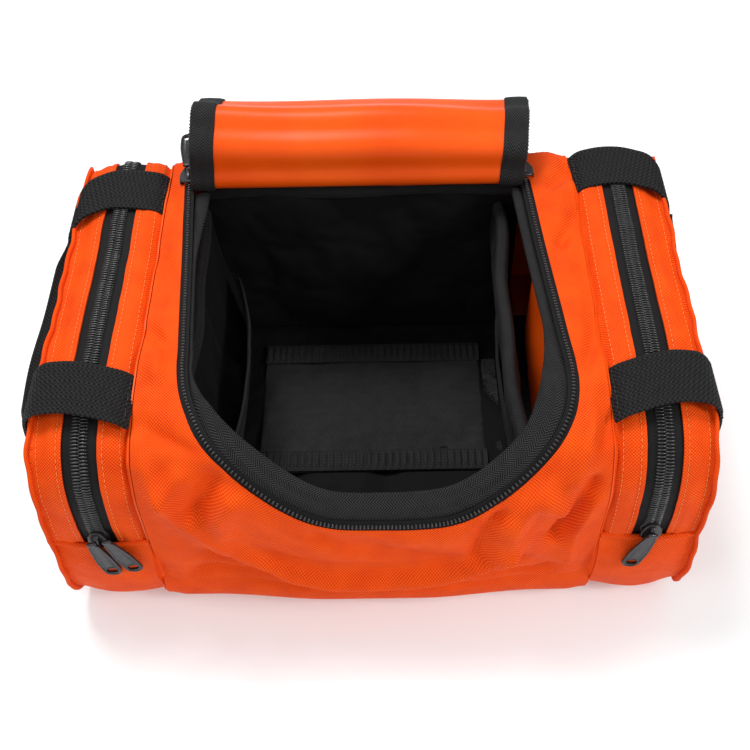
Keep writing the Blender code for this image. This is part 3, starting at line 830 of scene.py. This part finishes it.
def outline_points(over, length, under, under_length, x):
    """The pocket's side outline at one x, all the way round."""
    top = over(np.linspace(0, length, 120)[:-1], np.full(119, x))
    bottom = under(np.linspace(0, under_length, 130)[:-1], np.full(129, x))
    return np.vstack([top, bottom])


def seam_line(main_surface, rim, sign):
    """A pocket's outline, moved out to the main body's edge where that stands further out."""
    middle = rim.mean(axis=0)
    edges = []
    for cloth, line in ((main_surface, BESIDE_OPENING), (base_surface, UNDERSIDE)):
        s = np.linspace(line[0][0], line[-1][0], 300)
        edges.append(cloth(s, np.full(300, sign * HALF)))
    edge = np.vstack(edges) - middle
    bearing = np.arctan2(edge[:, 2], edge[:, 1])
    order = np.argsort(bearing)
    spokes = rim - middle
    reach = np.hypot(spokes[:, 1], spokes[:, 2])
    wanted = np.interp(
        np.arctan2(spokes[:, 2], spokes[:, 1]),
        bearing[order],
        np.hypot(edge[order, 1], edge[order, 2]),
        period=2 * pi,
    )
    return middle + spokes * np.clip(wanted / reach, 1.0, 1.08)[:, None]


def filled_outline(name, rim, flat_x, dome, finish, thickness, lining, facing):
    """A panel inside an outline, in rings towards its middle, domed along x towards the side it faces."""
    middle = rim.mean(axis=0)
    share = np.linspace(1, 0.03, 30)[:, None, None]
    points = middle + (rim - middle) * share
    wave = ripples(points[..., 1], points[..., 2], 0.0016, 0.075, 23)
    inside = 1 - share[..., 0] ** 2.5
    points[..., 0] = flat_x + facing * (dome + wave) * inside
    faces = grid_faces(len(share), len(rim), False, True)
    faces.append([(len(share) - 1) * len(rim) + k for k in range(len(rim))])
    if facing > 0:
        faces = [face[::-1] for face in faces]
    obj = add_mesh(name, points, faces, finish, points[..., 1:])
    return thicken(obj, thickness, lining)


def end_panel(side, sign, rim):
    """The pocket's outer end."""
    name, at = f"{side}_end_cloth", sign * (END_X - 0.0002)
    panel = filled_outline(name, rim, at, 0.0016, ORANGE, SHELL, COATED, sign)
    attach(panel, "orange_nylon", "bag", f"{side}_end_panel")


def dividing_wall(side, sign, rim):
    """The coated wall between the main compartment and the pocket, its coated side to the compartment."""
    middle = rim.mean(axis=0)
    smaller = middle + (rim - middle) * 0.993
    name, at = f"{side}_inner_wall", sign * SEAM_X
    wall = filled_outline(name, smaller, at, WALL_BULGES[side], COATED, 0.0010, None, -sign)
    attach(wall, "coated_lining", "bag", f"{side}_dividing_wall")


def seam_ring(name, rim, section, shift, heights, wobble):
    """A seam of orange cloth: a closed section of (across, out) points carried round a pocket's outline."""
    across = np.array([1.0, 0, 0])
    out = np.cross(np.roll(rim, -1, axis=0) - np.roll(rim, 1, axis=0), across)
    out /= np.linalg.norm(out, axis=1, keepdims=True)
    rings = []
    for place, away, stray in zip(rim, out, wobble):
        rings.append([place + across * (a + stray) + away * up for a, up in section])
    rings = np.array(rings)
    rings[..., 0] += shift
    uvs = np.stack(np.meshgrid(walked(rim), heights, indexing="ij"), axis=-1)
    seam = add_mesh(name, rings, grid_faces(len(rim), len(section), True, True), ORANGE, uvs)
    attach(recalculate(seam), "orange_nylon")


def outer_seam(side, sign, rim):
    """The seam allowance that stands up round the end panel."""
    root, shoulder, lip = (0.0011, -0.0015), (0.0013, 0.0018), (0.0007, 0.0032)
    mirrored = [(-a, up) for a, up in (root, shoulder, lip)]
    section = [mirrored[0], root, shoulder, lip, mirrored[2], mirrored[1]]
    k = np.arange(len(rim))
    wobble = 0.0006 * np.sin(k * 0.31) + 0.0004 * np.sin(k * 0.83)
    seam_ring(f"{side}_outer_seam", rim, section, sign * 0.0004, np.arange(len(section)) * 0.002, wobble)


def inner_seam(side, sign, rim):
    """The seam between the main body and the pocket: a narrow roll of cloth that lies in the valley."""
    section = oval(0.0030, 0.0028, -0.0054, 10)
    heights = np.linspace(0, 2 * pi, 11)[:-1] * 0.0026
    shift = sign * SEAM_X - rim[0, 0]
    seam_ring(f"{side}_inner_seam", rim, section, shift, heights, np.zeros(len(rim)))


def pocket_zip(side, sign, over, length):
    """Tape and both rows of coil teeth, closed all the way."""
    middle, inset, half = sign * ZIP_X, 0.0005, TAPE_EDGE + 0.0016
    route = np.column_stack([np.linspace(inset, length - inset, 200), np.full(200, middle)])
    below = raised(over, lambda s, x: np.full(np.shape(s), -0.0010))
    x = middle + np.linspace(-half, half, 15)
    tape = patch(f"{side}_zip_tape", below, np.linspace(inset, length - inset, 170), x, ZIP_TAPE, TAPE)
    attach(tape, "coil_zip", "bag", f"{side}_pocket_zip")
    for edge, out_by, offset in (("near", 0.0023, 0.0), ("far", -0.0023, TOOTH_PITCH / 2)):
        teeth = coil_teeth(f"{side}_zip_teeth_{edge}", over, route, out_by, 0.0060, -0.0002, offset=offset)
        attach(teeth, "coil_zip")


# ---- Webbing ----


def ribbed(surface, width):
    """A surface with the ribs and thin edges of webbing."""

    def relief(s, w):
        rib = np.cos(2 * pi * w * RIBS / width)
        edge = ease((np.abs(w) - width / 2 + 0.0012) / 0.0012)
        return 0.00032 * rib - 0.0006 * edge + 0.00008 * np.sin(2 * pi * s / 0.0016 + 3 * w / 0.002)

    return raised(surface, relief)


# How far each strap strays along y: at its seam end, on the pocket's top, and down the end panel
STRAP_DRIFTS = {
    ("left", "front"): (-0.0060, 0.0010, 0.0015),
    ("left", "rear"): (-0.0020, -0.0020, -0.0280),
    ("right", "front"): (-0.0070, 0.0020, 0.0000),
    ("right", "rear"): (0.0090, 0.0110, -0.0040),
}


def strap(side, sign, place):
    """A webbing strap from the main seam, arched over the pocket's top and sewn down its end panel."""
    name = f"{side}_{place}_strap"
    low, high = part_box(name)
    centre = (low.y + high.y) / 2
    points = (
        (HALF + 0.0005, 0.1675), (0.1455, 0.1722), (0.1560, 0.1752), (0.1700, 0.1764), (0.1850, 0.1758),
        (0.1975, 0.1732), (0.2040, 0.1660), (0.2062, 0.1560), (0.2058, 0.1300), (0.2052, 0.0900),
        (0.2046, low.z),
    )
    line, length = by_length(points)
    at_seam, at_top, at_foot = STRAP_DRIFTS[side, place]

    def base(s, w):
        across = line(s)
        drift = at_seam * (1 - ease(s / 0.05)) + at_top * np.exp(-(((s - 0.040) / 0.030) ** 2))
        drift += at_foot * ease((s - 0.035) / 0.06)
        return np.stack([sign * across[..., 0], centre + sign * w + drift, across[..., 1]], axis=-1)

    surface = ribbed(base, STRAP_WIDTH)
    w = np.linspace(-STRAP_WIDTH / 2, STRAP_WIDTH / 2, RIBS * 5 + 1)
    made = patch(name + "_webbing", surface, np.linspace(0, length, 190), w, WEBBING, 0.0017)
    attach(made, "black_webbing", "bag", name)
    inner = STRAP_WIDTH / 2 - 0.0035
    foot, top = length - 0.004, length - 0.034
    square = [(foot, -inner), (top, -inner), (top, inner), (foot, inner), (foot, -inner), (top, inner)]
    cross = [(foot, inner), (top, -inner)]
    seam = [(0.0040, -inner), (0.0040, inner)]
    sewn = stitches(name + "_stitching", surface, [square, cross, seam], BLACK_THREAD, 0.0003, 0.0032)
    attach(sewn, "black_webbing")


# How much of a handle's reach is kept back, how far it hangs, its tilt, and how much it is shortened behind
HANDLES = {"left": (0.0075, 0.007, 0.45, 0.017), "right": (0.0125, 0.020, 1.15, 0.0)}


def handle(side, sign):
    """A webbing loop between the two straps, bowed out from the end panel."""
    node = f"{side}_end_handle"
    low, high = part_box(node)
    pivot = JOINT_AT[f"{side}_handle_swing"]
    reach = max(abs(low.x), abs(high.x)) - abs(pivot.x)
    hold, sink, tilt, shorter = HANDLES[side]
    rear = high.y - shorter
    half, length = 0.0095, rear - low.y

    def base(s, w):
        share = 2 * s / length - 1
        bow = 1 - np.abs(share) ** 2.6
        width = 0.62 + 0.38 * ease((1 - np.abs(share)) / 0.25)
        centre = abs(pivot.x) + 0.0035 + (reach - half - hold) * bow
        uneven = 0.0016 * np.sin(5 * share)
        x = sign * centre + w * width * np.cos(tilt * bow)
        z = pivot.z + 0.0006 - sink * bow + uneven - sign * w * np.sin(tilt * bow)
        return np.stack([x, rear - s, z], axis=-1)

    surface = ribbed(base, 2 * half)
    w = np.linspace(-half, half, 61)
    made = patch(node + "_webbing", surface, np.linspace(0, length, 150), w, WEBBING, 0.0020)
    attach(made, "black_webbing", node, node)


# ---- The lid ----

LID_PARTS = ("hinge", "rear", "crown", "middle", "shoulder", "nose")
LID_JOINTS = ["lid_hinge_turn"] + [f"lid_{part}_fold" for part in LID_PARTS[1:]]
LID_AT = [JOINT_AT[name] for name in LID_JOINTS]
LID_FOLDS = np.cumsum([0.0] + [(b - a).length for a, b in zip(LID_AT, LID_AT[1:])])
LID_TURNS = (100, 50, 55, 57, 4, 2)  # degrees that each fold turns the cloth at rest
LID_BENDS = (0.0115, 0.0125, 0.0125, 0.0145, 0.0180, 0.0180)  # half of each fold's length
LID_START = -0.0120
LID_CUTS = [LID_START] + [(a + b) / 2 for a, b in zip(LID_FOLDS, LID_FOLDS[1:])]


def lid_surface(d, x):
    """The open lid's outer face: a flat sheet turned about each fold, from the last to the first."""
    d, x = np.broadcast_arrays(np.asarray(d, float), np.asarray(x, float))
    y, z = -d, 0.0008 * np.sin(pi * (x / ZIP_HALF) ** 2) * ease(d / 0.03)
    for at, turn, bend in reversed(list(zip(LID_FOLDS, LID_TURNS, LID_BENDS))):
        angle = radians(turn) * ease((d - at + bend) / (2 * bend))
        ahead = y + at
        y, z = -at + ahead * np.cos(angle) + z * np.sin(angle), z * np.cos(angle) - ahead * np.sin(angle)
    sewn = 0.0030 * (1 - ease((d - LID_START) / -LID_START))
    curl = np.exp(-(((d - 0.050) / 0.030) ** 2))
    tilt = -0.0042 * x / ZIP_HALF + 0.0012 * np.sin(x * 42 + 0.6)
    return np.stack([x, LID_AT[0].y + y, LID_AT[0].z + z - sewn + 0.0011 + curl * tilt], axis=-1)


def lid_rows(low, high, last):
    """Distances of a lid part's rows, crowding towards the tip of the nose."""
    t = np.linspace(0, 1, 44 if last else 16)
    return low + (high - low) * (np.sin(t * pi / 2) if last else t)


def lid_routes(low, high, last):
    """Routes along the lid's edge within a part: both sides, or once round the nose."""
    if last:
        route = d_route(LID_INSET, 0.0, 700)
        kept = route[route[:, 0] > low]
        ends = [(low, leaned(sign * d_half(low, LID_INSET), low)) for _, sign in SIDES]
        return {"": np.vstack([ends[:1], kept[::4], ends[1:]])}
    d = np.linspace(low, high, 30)
    left = np.column_stack([d, leaned(-d_half(d, LID_INSET), d)])
    right = np.column_stack([d, leaned(d_half(d, LID_INSET), d)])[::-1]
    return {"_left": left, "_right": right}


def lid_binding():
    """The section of the tape bound round the lid's edge, wider on its inner face."""
    t = LID_THICK
    return (
        (0.0050, 0.0001), (0.0050, 0.0012), (-0.0014, 0.0011), (-0.0022, -t / 2), (-0.0014, -t - 0.0011),
        (0.0040, -t - 0.0016), (0.0110, -t - 0.0016), (0.0140, -t - 0.0012), (BINDING_WIDTH, -t - 0.0001),
        (0.0, -t - 0.0001), (-0.0006, -t / 2), (0.0, 0.0001),
    )


def lid_part(index, part):
    """One stretch of the lid that bends across one fold: cloth, bound edge and its half of the zip."""
    last = index == len(LID_PARTS) - 1
    low, high = LID_CUTS[index], ZIP_REACH - LID_INSET if last else LID_CUTS[index + 1]
    at, bend = LID_FOLDS[index], LID_BENDS[index]
    before, after = (Vector(lid_surface(at + step, 0.0)) for step in (-bend, bend))
    d, share = np.meshgrid(lid_rows(low, high, last), np.linspace(-1, 1, 49), indexing="ij")
    x = leaned(share * np.maximum(d_half(d, LID_INSET), 0.0004), d)
    flat = np.stack([d, x], axis=-1)
    cloth = add_mesh(f"lid_{part}_cloth", lid_surface(d, x), grid_faces(*d.shape), ORANGE, flat)
    thicken(cloth, LID_THICK, COATED)
    pieces = [(cloth, "coated_lining")]
    for edge, route in lid_routes(low, high, last).items():
        bound = sweep(f"lid_{part}_binding{edge}", lid_surface, route, lid_binding(), BINDING)
        pieces.append((bound, "black_webbing"))
        if index > 0:
            middle = -LID_THICK / 2
            teeth = coil_teeth(f"lid_{part}_teeth{edge}", lid_surface, route, -0.0010, 0.0034, middle)
            pieces.append((teeth, "coil_zip"))
    for piece, slot in pieces:
        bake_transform(piece)
    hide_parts(f"lid_{part}_panel")


# ---- The padded insert ----


def plane(origin, along, across, relief=None):
    """A flat surface from an origin, which relief(s, x) may shape; its face is towards along x across."""
    origin, along, across = (np.array(v, float) for v in (origin, along, across))

    def base(s, x):
        s, x = np.broadcast_arrays(np.asarray(s, float), np.asarray(x, float))
        return origin + s[..., None] * along + x[..., None] * across

    return base if relief is None else raised(base, relief)


def level(x, y, z, relief=None):
    """A surface that faces up from a corner."""
    return plane((x, y, z), (1, 0, 0), (0, 1, 0), relief)


def inflate(obj, pinned, pressure):
    """Fills a thin closed pad with a short cloth simulation, its pinned points held and its motion capped."""
    scene, last_frame, cap = bpy.context.scene, 14, 0.0035
    before = np.array([v.co for v in obj.data.vertices])
    obj.vertex_groups.new(name="held").add(np.nonzero(pinned)[0].tolist(), 1.0, "REPLACE")
    cloth = obj.modifiers.new("filling", "CLOTH")
    cloth.settings.quality = 4
    cloth.settings.mass = 0.15
    cloth.settings.tension_stiffness = 12
    cloth.settings.shrink_min = -0.02
    cloth.settings.use_pressure = True
    cloth.settings.uniform_pressure_force = pressure
    cloth.settings.vertex_group_mass = "held"
    cloth.settings.effector_weights.gravity = 0
    cloth.point_cache.frame_end = last_frame
    for number in range(1, last_frame + 1):
        scene.frame_set(number)
    settle(obj)
    moved = np.array([v.co for v in obj.data.vertices]) - before
    far = np.linalg.norm(moved, axis=1, keepdims=True)
    moved *= np.minimum(1, cap / np.maximum(far, 1e-9))
    obj.data.vertices.foreach_set("co", (before + moved).astype(np.float32).ravel())
    obj.vertex_groups.clear()
    scene.frame_set(1)


def pad(name, surface, size, node, rows, finish=PADDING, thickness=PAD_THICK, pressure=2.2):
    """A foam pad in a node's place, its border and sewn rows held; s and x run over the two sizes."""
    s, x = (np.linspace(0, reach, int(reach / PAD_STEP) + 1) for reach in size)
    obj = patch(name, surface, s, x, finish, thickness)
    face = np.stack(np.meshgrid(s, x, indexing="ij"), axis=-1).reshape(-1, 2) / size
    share = np.tile(face, (2, 1))
    pinned = (share.min(axis=1) < 0.02) | (share.max(axis=1) > 0.98)
    for row in rows:
        pinned |= np.abs(share[:, 1] - row) * size[1] < PAD_STEP * 0.6
    inflate(obj, pinned, pressure)
    obj.modifiers.new("smooth", "SUBSURF").levels = 1
    settle(obj)
    attach(obj, "black_padding", "bag", node)


def waves(seed, height=PAD_WAVES):
    """The unevenness of a pad."""
    return lambda s, x: ripples(s, x, height, 0.09, seed)


def insert():
    """The padded insert: floor, walls, slip pockets, the divider on the floor and a strip of loop tape."""
    low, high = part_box("insert_floor")
    bottom = level(low.x, low.y, high.z - 0.0006, waves(31, 0.0006))
    size = (high.x - low.x, high.y - low.y)
    pad("insert_floor_pad", bottom, size, "insert_floor", (0.22, 0.78), thickness=0.0040, pressure=1.2)
    rear_wall()
    front_wall()
    for side, sign in SIDES:
        side_wall(side, sign)
        bound_top(side, sign)
        slip_pocket(side, sign)
    divider()
    loop_strip()


def rear_wall():
    """The rear wall with its bound top, widened to meet the left wall, which leans outwards."""
    low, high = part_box("insert_rear_wall")
    wide = 2 * high.x - WALL_LEANS["left"]
    tall = high.z - low.z + 0.013
    wall = plane((high.x - wide, low.y + PAD_SINK, low.z), (1, 0, 0), (0, 0, 1), waves(37))
    pad("insert_rear_pad", wall, (wide, tall), "insert_rear_wall", (0.32, 0.66))
    top = level(high.x - wide + 0.004, low.y + 0.0030, low.z + tall)
    edge = [(v, 0.0015 * sin(v / 0.02)) for v in np.linspace(0, wide - 0.008, 80)]
    attach(sweep("insert_rear_bound_top", top, edge, oval(0.0046, 0.0062, -0.0012), BINDING), "black_webbing")


def front_wall():
    """The front wall, which ends below the ring of the opening."""
    low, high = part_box("insert_front_wall")
    wall = plane((low.x, high.y - PAD_SINK, low.z), (0, 0, 1), (1, 0, 0), waves(41))
    pad("insert_front_pad", wall, (high.z - low.z, high.x - low.x), "insert_front_wall", (0.33, 0.67))


def in_order(sign, along_y, along_z):
    """What belongs to y and to z, in the order of s and x on a surface that faces the compartment."""
    return (along_y, along_z) if sign < 0 else (along_z, along_y)


def facing_in(sign, corner, relief):
    """An upright surface from a corner, facing the compartment from one side."""
    return plane(corner, *in_order(sign, (0, 1, 0), (0, 0, 1)), relief)


def side_wall(side, sign):
    """A side wall of the insert, its top leaning over."""
    node = f"insert_{side}_wall"
    low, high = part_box(node)
    tall, depth = high.z - low.z, high.y - low.y

    def leaning(s, x):
        _, height = in_order(sign, s, x)
        return waves(43 + sign)(s, x) + WALL_LEANS[side] * ease(height / tall)

    face = min(abs(low.x), abs(high.x)) + PAD_SINK
    wall = facing_in(sign, (sign * face, low.y, low.z), leaning)
    pad(f"insert_{side}_pad", wall, in_order(sign, depth, tall), node, (0.5,))


def bound_top(side, sign):
    """The herringbone binding rolled over a side wall's top edge."""
    low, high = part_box(f"insert_{side}_wall")
    middle = sign * ((abs(low.x) + abs(high.x)) / 2 - WALL_LEANS[side])
    top = plane((middle, high.y - 0.004, high.z - 0.001), (0, -1, 0), (1, 0, 0))
    d = np.linspace(0, high.y - low.y - 0.008, 90)
    sway = 0.0022 * np.sin(d / 0.036 + 1.3 * sign) + 0.0012 * np.sin(d / 0.015)
    route = np.column_stack([d, sway])
    bound = sweep(f"insert_{side}_bound_top", top, route, oval(0.0046, 0.0072, -0.0022), BINDING)
    attach(bound, "black_webbing", "bag", f"insert_{side}_binding")


def slip_pocket(side, sign):
    """A cloth pocket on a side wall, its hemmed mouth bowed into the compartment."""
    low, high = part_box(f"{side}_slip_pocket")
    deep, tall = high.y - low.y, high.z - low.z

    def bowed(s, x):
        y, z = in_order(sign, s, x)
        along = 1 - np.abs(2 * y / deep - 1) ** 2.4
        return 0.0125 * along * ease(z / tall) + ripples(y, z, 0.0008, 0.05, 53)

    wall = facing_in(sign, (sign * max(abs(low.x), abs(high.x)), low.y, low.z), bowed)
    hem = [in_order(sign, v, tall - 0.001) for v in np.linspace(0, deep, 70)]
    s, x = in_order(sign, np.linspace(0, deep, 46), np.linspace(0, tall, 46))
    cloth = patch(f"{side}_slip_cloth", wall, s, x, TWILL, 0.0009)
    attach(cloth, "black_padding", "bag", f"{side}_slip_pocket")
    edge = sweep(f"{side}_slip_hem", wall, hem, oval(0.0042, 0.0013, -0.0003, 12), BINDING)
    attach(edge, "black_webbing")


def divider():
    """The divider that lies on the floor: a twill panel with a gathered band at each end."""
    low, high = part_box("divider_pad")
    size = (high.x - low.x, high.y - low.y)

    def sag(s, x):
        return ripples(s, x, 0.0010, 0.08, 61)

    panel = level(low.x, low.y, high.z - PAD_SINK, sag)
    pad("divider_panel", panel, size, "divider_pad", (0.14, 0.86), TWILL, 0.0030, 1.6)

    def gathers(s, x):
        pleat = np.abs(np.sin(pi * s / 0.0052 + 0.6 * np.sin(s / 0.021)))
        hem = ease(1 - np.abs(x / (BAND_DEPTH / 2) - 1) ** 3)
        return (0.0016 * pleat + 0.0006) * hem - 0.0004

    for end, start in (("front", 0.0), ("rear", size[1] - BAND_DEPTH)):
        band = level(low.x, low.y + start, high.z + 0.0006, gathers)
        s, x = np.linspace(0, size[0], 280), np.linspace(0, BAND_DEPTH, 14)
        attach(patch(f"divider_{end}_band", band, s, x, GATHERED, 0.0012), "black_padding")


def loop_strip():
    """Loop tape on the floor: a woven ground with a pile of small loops."""
    low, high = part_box("floor_loop_strip")
    ground = level(low.x, low.y, high.z - 0.0006)
    s, x = np.linspace(0, high.x - low.x, 8), np.linspace(0, high.y - low.y, 60)
    attach(patch("loop_tape_ground", ground, s, x, LOOP, TAPE), "loop_tape", "bag", "floor_loop_strip")
    chance, count, inset = np.random.default_rng(71), 900, 0.0006
    place = np.column_stack([
        chance.uniform(low.x + inset, high.x - inset, count),
        chance.uniform(low.y + inset, high.y - inset, count),
        np.full(count, high.z - 0.0004),
    ])
    turn = chance.uniform(0, 2 * pi, count)
    along = np.column_stack([np.cos(turn), np.sin(turn), np.zeros(count)])
    across = np.column_stack([-np.sin(turn), np.cos(turn), np.zeros(count)])
    up = np.tile([0.0, 0, 1], (count, 1))
    loop = capsule(0.0022, 0.0004, 0.0004, bow=0.0008)
    attach(scatter("loop_pile", loop, place, along, across, up, LOOP), "loop_tape")


# ---- Sliders and pull tabs ----


def loft(loops, ring=False):
    """Points and faces through closed loops of equally many points: a capped tube, or a ring."""
    count = len(loops[0])
    faces = grid_faces(len(loops), count, True, True) if ring else tube_faces(len(loops), count)
    return np.array(loops, float).reshape(-1, 3), faces


def solid(name, parts, finish, origin, along, out):
    """One object from parts drawn with x across, y along and z out of the cloth."""
    along, out = Vector(along).normalized(), Vector(out).normalized()
    axes = np.array([out.cross(along) * -1, along, out])
    points, faces, start = [], [], 0
    for part_points, part_faces in parts:
        points.append(part_points)
        faces += [[v + start for v in face] for face in part_faces]
        start += len(part_points)
    placed = np.vstack(points) @ axes + np.array(origin)
    obj = add_mesh(name, placed, faces, finish)
    obj.data.set_sharp_from_angle(angle=radians(40))
    return recalculate(obj)


def rounded(width, length, taper=0.0):
    """A rounded rectangle of (across, along) points, narrower at its far end by the taper."""
    points, power, count = [], 0.55, 36
    for k in range(count):
        angle = 2 * pi * k / count
        a = width / 2 * np.sign(cos(angle)) * abs(cos(angle)) ** power
        b = length / 2 * np.sign(sin(angle)) * abs(sin(angle)) ** power
        points.append((a * (1 - taper * float(ease((b / length + 0.05) / 0.5))), b))
    return points


def plate(width, length, low, high, taper):
    """A flat tapered plate between two heights, its edges bevelled."""
    loops, edge = [], 0.0004
    for z, inset in ((low, edge), (low + edge, 0), (high - edge, 0), (high, edge)):
        outline = rounded(width - 2 * inset, length - 2 * inset, taper)
        loops.append([(a, b, z) for a, b in outline])
    return loft(loops)


def flange(across, length):
    """A side flange of a slider's lower plate."""
    outline = rounded(0.0009, length)
    return loft([[(across + a, b - 0.0028, z) for a, b in outline] for z in (0.0004, 0.0016)])


def bridge():
    """The arch over a slider that holds its tab."""
    turns = np.linspace(0, 2 * pi, 11)[:-1]
    arch = []
    for t in np.linspace(0, pi, 13):
        b, z = -0.0052 * cos(t), 0.0028 + 0.0024 * sin(t) ** 0.7
        ring = [
            (0.0013 * cos(k), b - 0.0005 * sin(k) * cos(t), z + 0.0006 * sin(k) * sin(t))
            for k in turns
        ]
        arch.append(ring)
    return loft(arch)


def slider_body(name, along, out):
    """A zip slider: two tapered plates on a post, with side flanges and a bridge for the tab."""
    low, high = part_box(name)
    height = max(abs((high - low).dot(out)), 0.004)
    origin = (low + high) / 2 - out * (height / 2)
    width, length = 0.0126, 0.0160
    parts = [
        plate(width, length, -0.0022, -0.0008, 0.35),
        plate(width, length, 0.0014, 0.0030, 0.35),
        plate(0.0022, length * 0.55, -0.0010, 0.0016, 0.6),
    ]
    parts += [flange(side * (width / 2 - 0.0004), length * 0.62) for side in (-1, 1)]
    parts.append(bridge())
    attach(solid(name + "_body", parts, METAL, origin, along, out), "gunmetal", name, name)


def outline_angles():
    """Angles of a tab outline's points, none of them at its two ends."""
    return [2 * pi * (k + 0.5) / 56 for k in range(56)]


def tab_outline(inset):
    """The tab's outline: narrow at the pin, wide and round at the tip."""
    points = []
    for angle in outline_angles():
        share = (1 - cos(angle)) / 2
        b = inset + (TAB_LENGTH - 2 * inset) * share
        half = 0.0038 + 0.0022 * float(ease(b / 0.024)) - inset
        end = (1 - abs(2 * share - 1) ** 9) ** 0.5
        points.append((np.sign(sin(angle)) * half * end, b))
    return points


def slot_outline(grow):
    """The outline of the slot near the tab's tip."""
    points = []
    for angle in outline_angles():
        a = (0.0036 + grow) * np.sign(sin(angle)) * abs(sin(angle)) ** 0.6
        b = 0.0322 - (0.0026 + grow) * np.sign(cos(angle)) * abs(cos(angle)) ** 0.6
        points.append((a, b))
    return points


def pull_tab(name, along, out):
    """A moulded pull tab: raised rim, recessed face and a slot at its tip, hung on a knuckle."""
    rim, face = 0.00095, 0.00050
    rings = (
        (rim * 0.55, tab_outline(0.0)), (rim, tab_outline(0.0004)), (rim, tab_outline(0.0010)),
        (face, tab_outline(0.0014)), (face, slot_outline(0.0009)), (rim * 0.9, slot_outline(0.0005)),
        (rim * 0.9, slot_outline(0.0)),
    )
    upper = [[(a, b, z) for a, b in outline] for z, outline in rings]
    lower = [[(a, b, -z) for a, b in outline] for z, outline in rings]
    parts = [loft(upper + lower[::-1], ring=True), capsule(0.0064, 0.0026, 0.0026, rings=9, sides=12)]
    made = solid(name + "_tab", parts, METAL, JOINT_AT[name + "_swing"], along, out)
    attach(made, "gunmetal", name, name)


def hardware():
    """All sliders and pull tabs, each on its own body."""
    up, forward = Vector((0, 0, 1)), Vector((0, -1, 0))
    back = Vector((-LEAN_RATE, 1, 0)).normalized()
    droop = radians(TAB_DROOP)
    along, out = back * cos(droop) - up * sin(droop), back * sin(droop) + up * cos(droop)
    pocket_tabs = {"left": {"pull_front": -4, "pull_rear": 4}, "right": {"pull": 0}}
    for side, sign in SIDES:
        slider_body(f"main_zip_{side}_slider", back, up)
        pull_tab(f"main_zip_{side}_pull", along, out)
        slider_body(f"{side}_pocket_slider", up, forward)
        for pull, spread in pocket_tabs[side].items():
            swing = radians(TAB_SWING + spread)
            pull_tab(f"{side}_pocket_{pull}", Vector((-sign * sin(swing), 0, -cos(swing))), forward)


def carried_over():
    """Materials for the CAD nodes that stay as they are."""
    board = frame["nodes"]["base_board"]
    board.data.materials.clear()
    board.data.materials.append(BOARD)


# ---- Stage ----


def camera():
    """High in front of the bag, looking steeply down."""
    yaw, pitch, roll = -0.0216, 0.8955, 0.0338
    ahead = Vector((sin(yaw) * cos(pitch), cos(yaw) * cos(pitch), -sin(pitch)))
    right = Vector((cos(yaw), -sin(yaw), 0))
    down = ahead.cross(right)
    turned_right = right * cos(roll) + down * sin(roll)
    turned_down = down * cos(roll) - right * sin(roll)
    data = bpy.data.cameras.new("camera")
    data.lens = 50.88
    made = bpy.data.objects.new("camera", data)
    bpy.context.scene.collection.objects.link(made)
    axes = Matrix((turned_right, -turned_down, -ahead)).transposed().to_4x4()
    made.matrix_world = Matrix.Translation((0.0112, -0.4647, 0.6625)) @ axes
    bpy.context.scene.camera = made


def area_light(name, place, size, power):
    """A square light that faces the bag."""
    data = bpy.data.lights.new(name, "AREA")
    data.size = size
    data.energy = power
    made = bpy.data.objects.new(name, data)
    bpy.context.scene.collection.objects.link(made)
    made.location = place
    made.rotation_euler = (Vector((0, 0, 0.08)) - Vector(place)).to_track_quat("-Z", "Y").to_euler()


def floor():
    """A plain pale floor just under the bag."""
    size, below = 6.0, -0.0006
    corners = [(-size, -size, below), (size, -size, below), (size, size, below), (-size, size, below)]
    glow = {"Emission Color": (1, 1, 1, 1), "Emission Strength": 0.16}
    finish = Finish("white_floor", (0.82, 0.87, 0.88), 0.7, **glow)
    where, _ = finish.place("Object")
    finish.bump(finish.noise(where, 3.0), 0.0005, 0.1)
    add_mesh("floor", corners, [(0, 1, 2, 3)], finish.made)


def studio():
    """A white world and three soft lights."""
    world = bpy.data.worlds.new("studio")
    world.use_nodes = True
    background = world.node_tree.nodes["Background"]
    background.inputs["Color"].default_value = (1, 1, 1, 1)
    background.inputs["Strength"].default_value = 0.54
    bpy.context.scene.world = world
    bpy.context.scene.view_settings.view_transform = "Standard"
    area_light("key", (-0.40, 0.45, 1.55), 0.6, 18)
    area_light("fill", (-1.0, -0.9, 1.1), 0.6, 3.5)
    area_light("right", (1.1, -0.6, 1.1), 0.4, 9.5)


def build():
    camera()
    floor()
    studio()
    surface = raised(main_base, main_relief)
    main_shell(surface)
    base_tray()
    main_zip(surface)
    opening_ring(surface)
    for side, sign in SIDES:
        end_pocket(side, sign, surface)
        for place in ("front", "rear"):
            strap(side, sign, place)
        handle(side, sign)
    for index, part in enumerate(LID_PARTS):
        lid_part(index, part)
    insert()
    hardware()
    carried_over()


build()
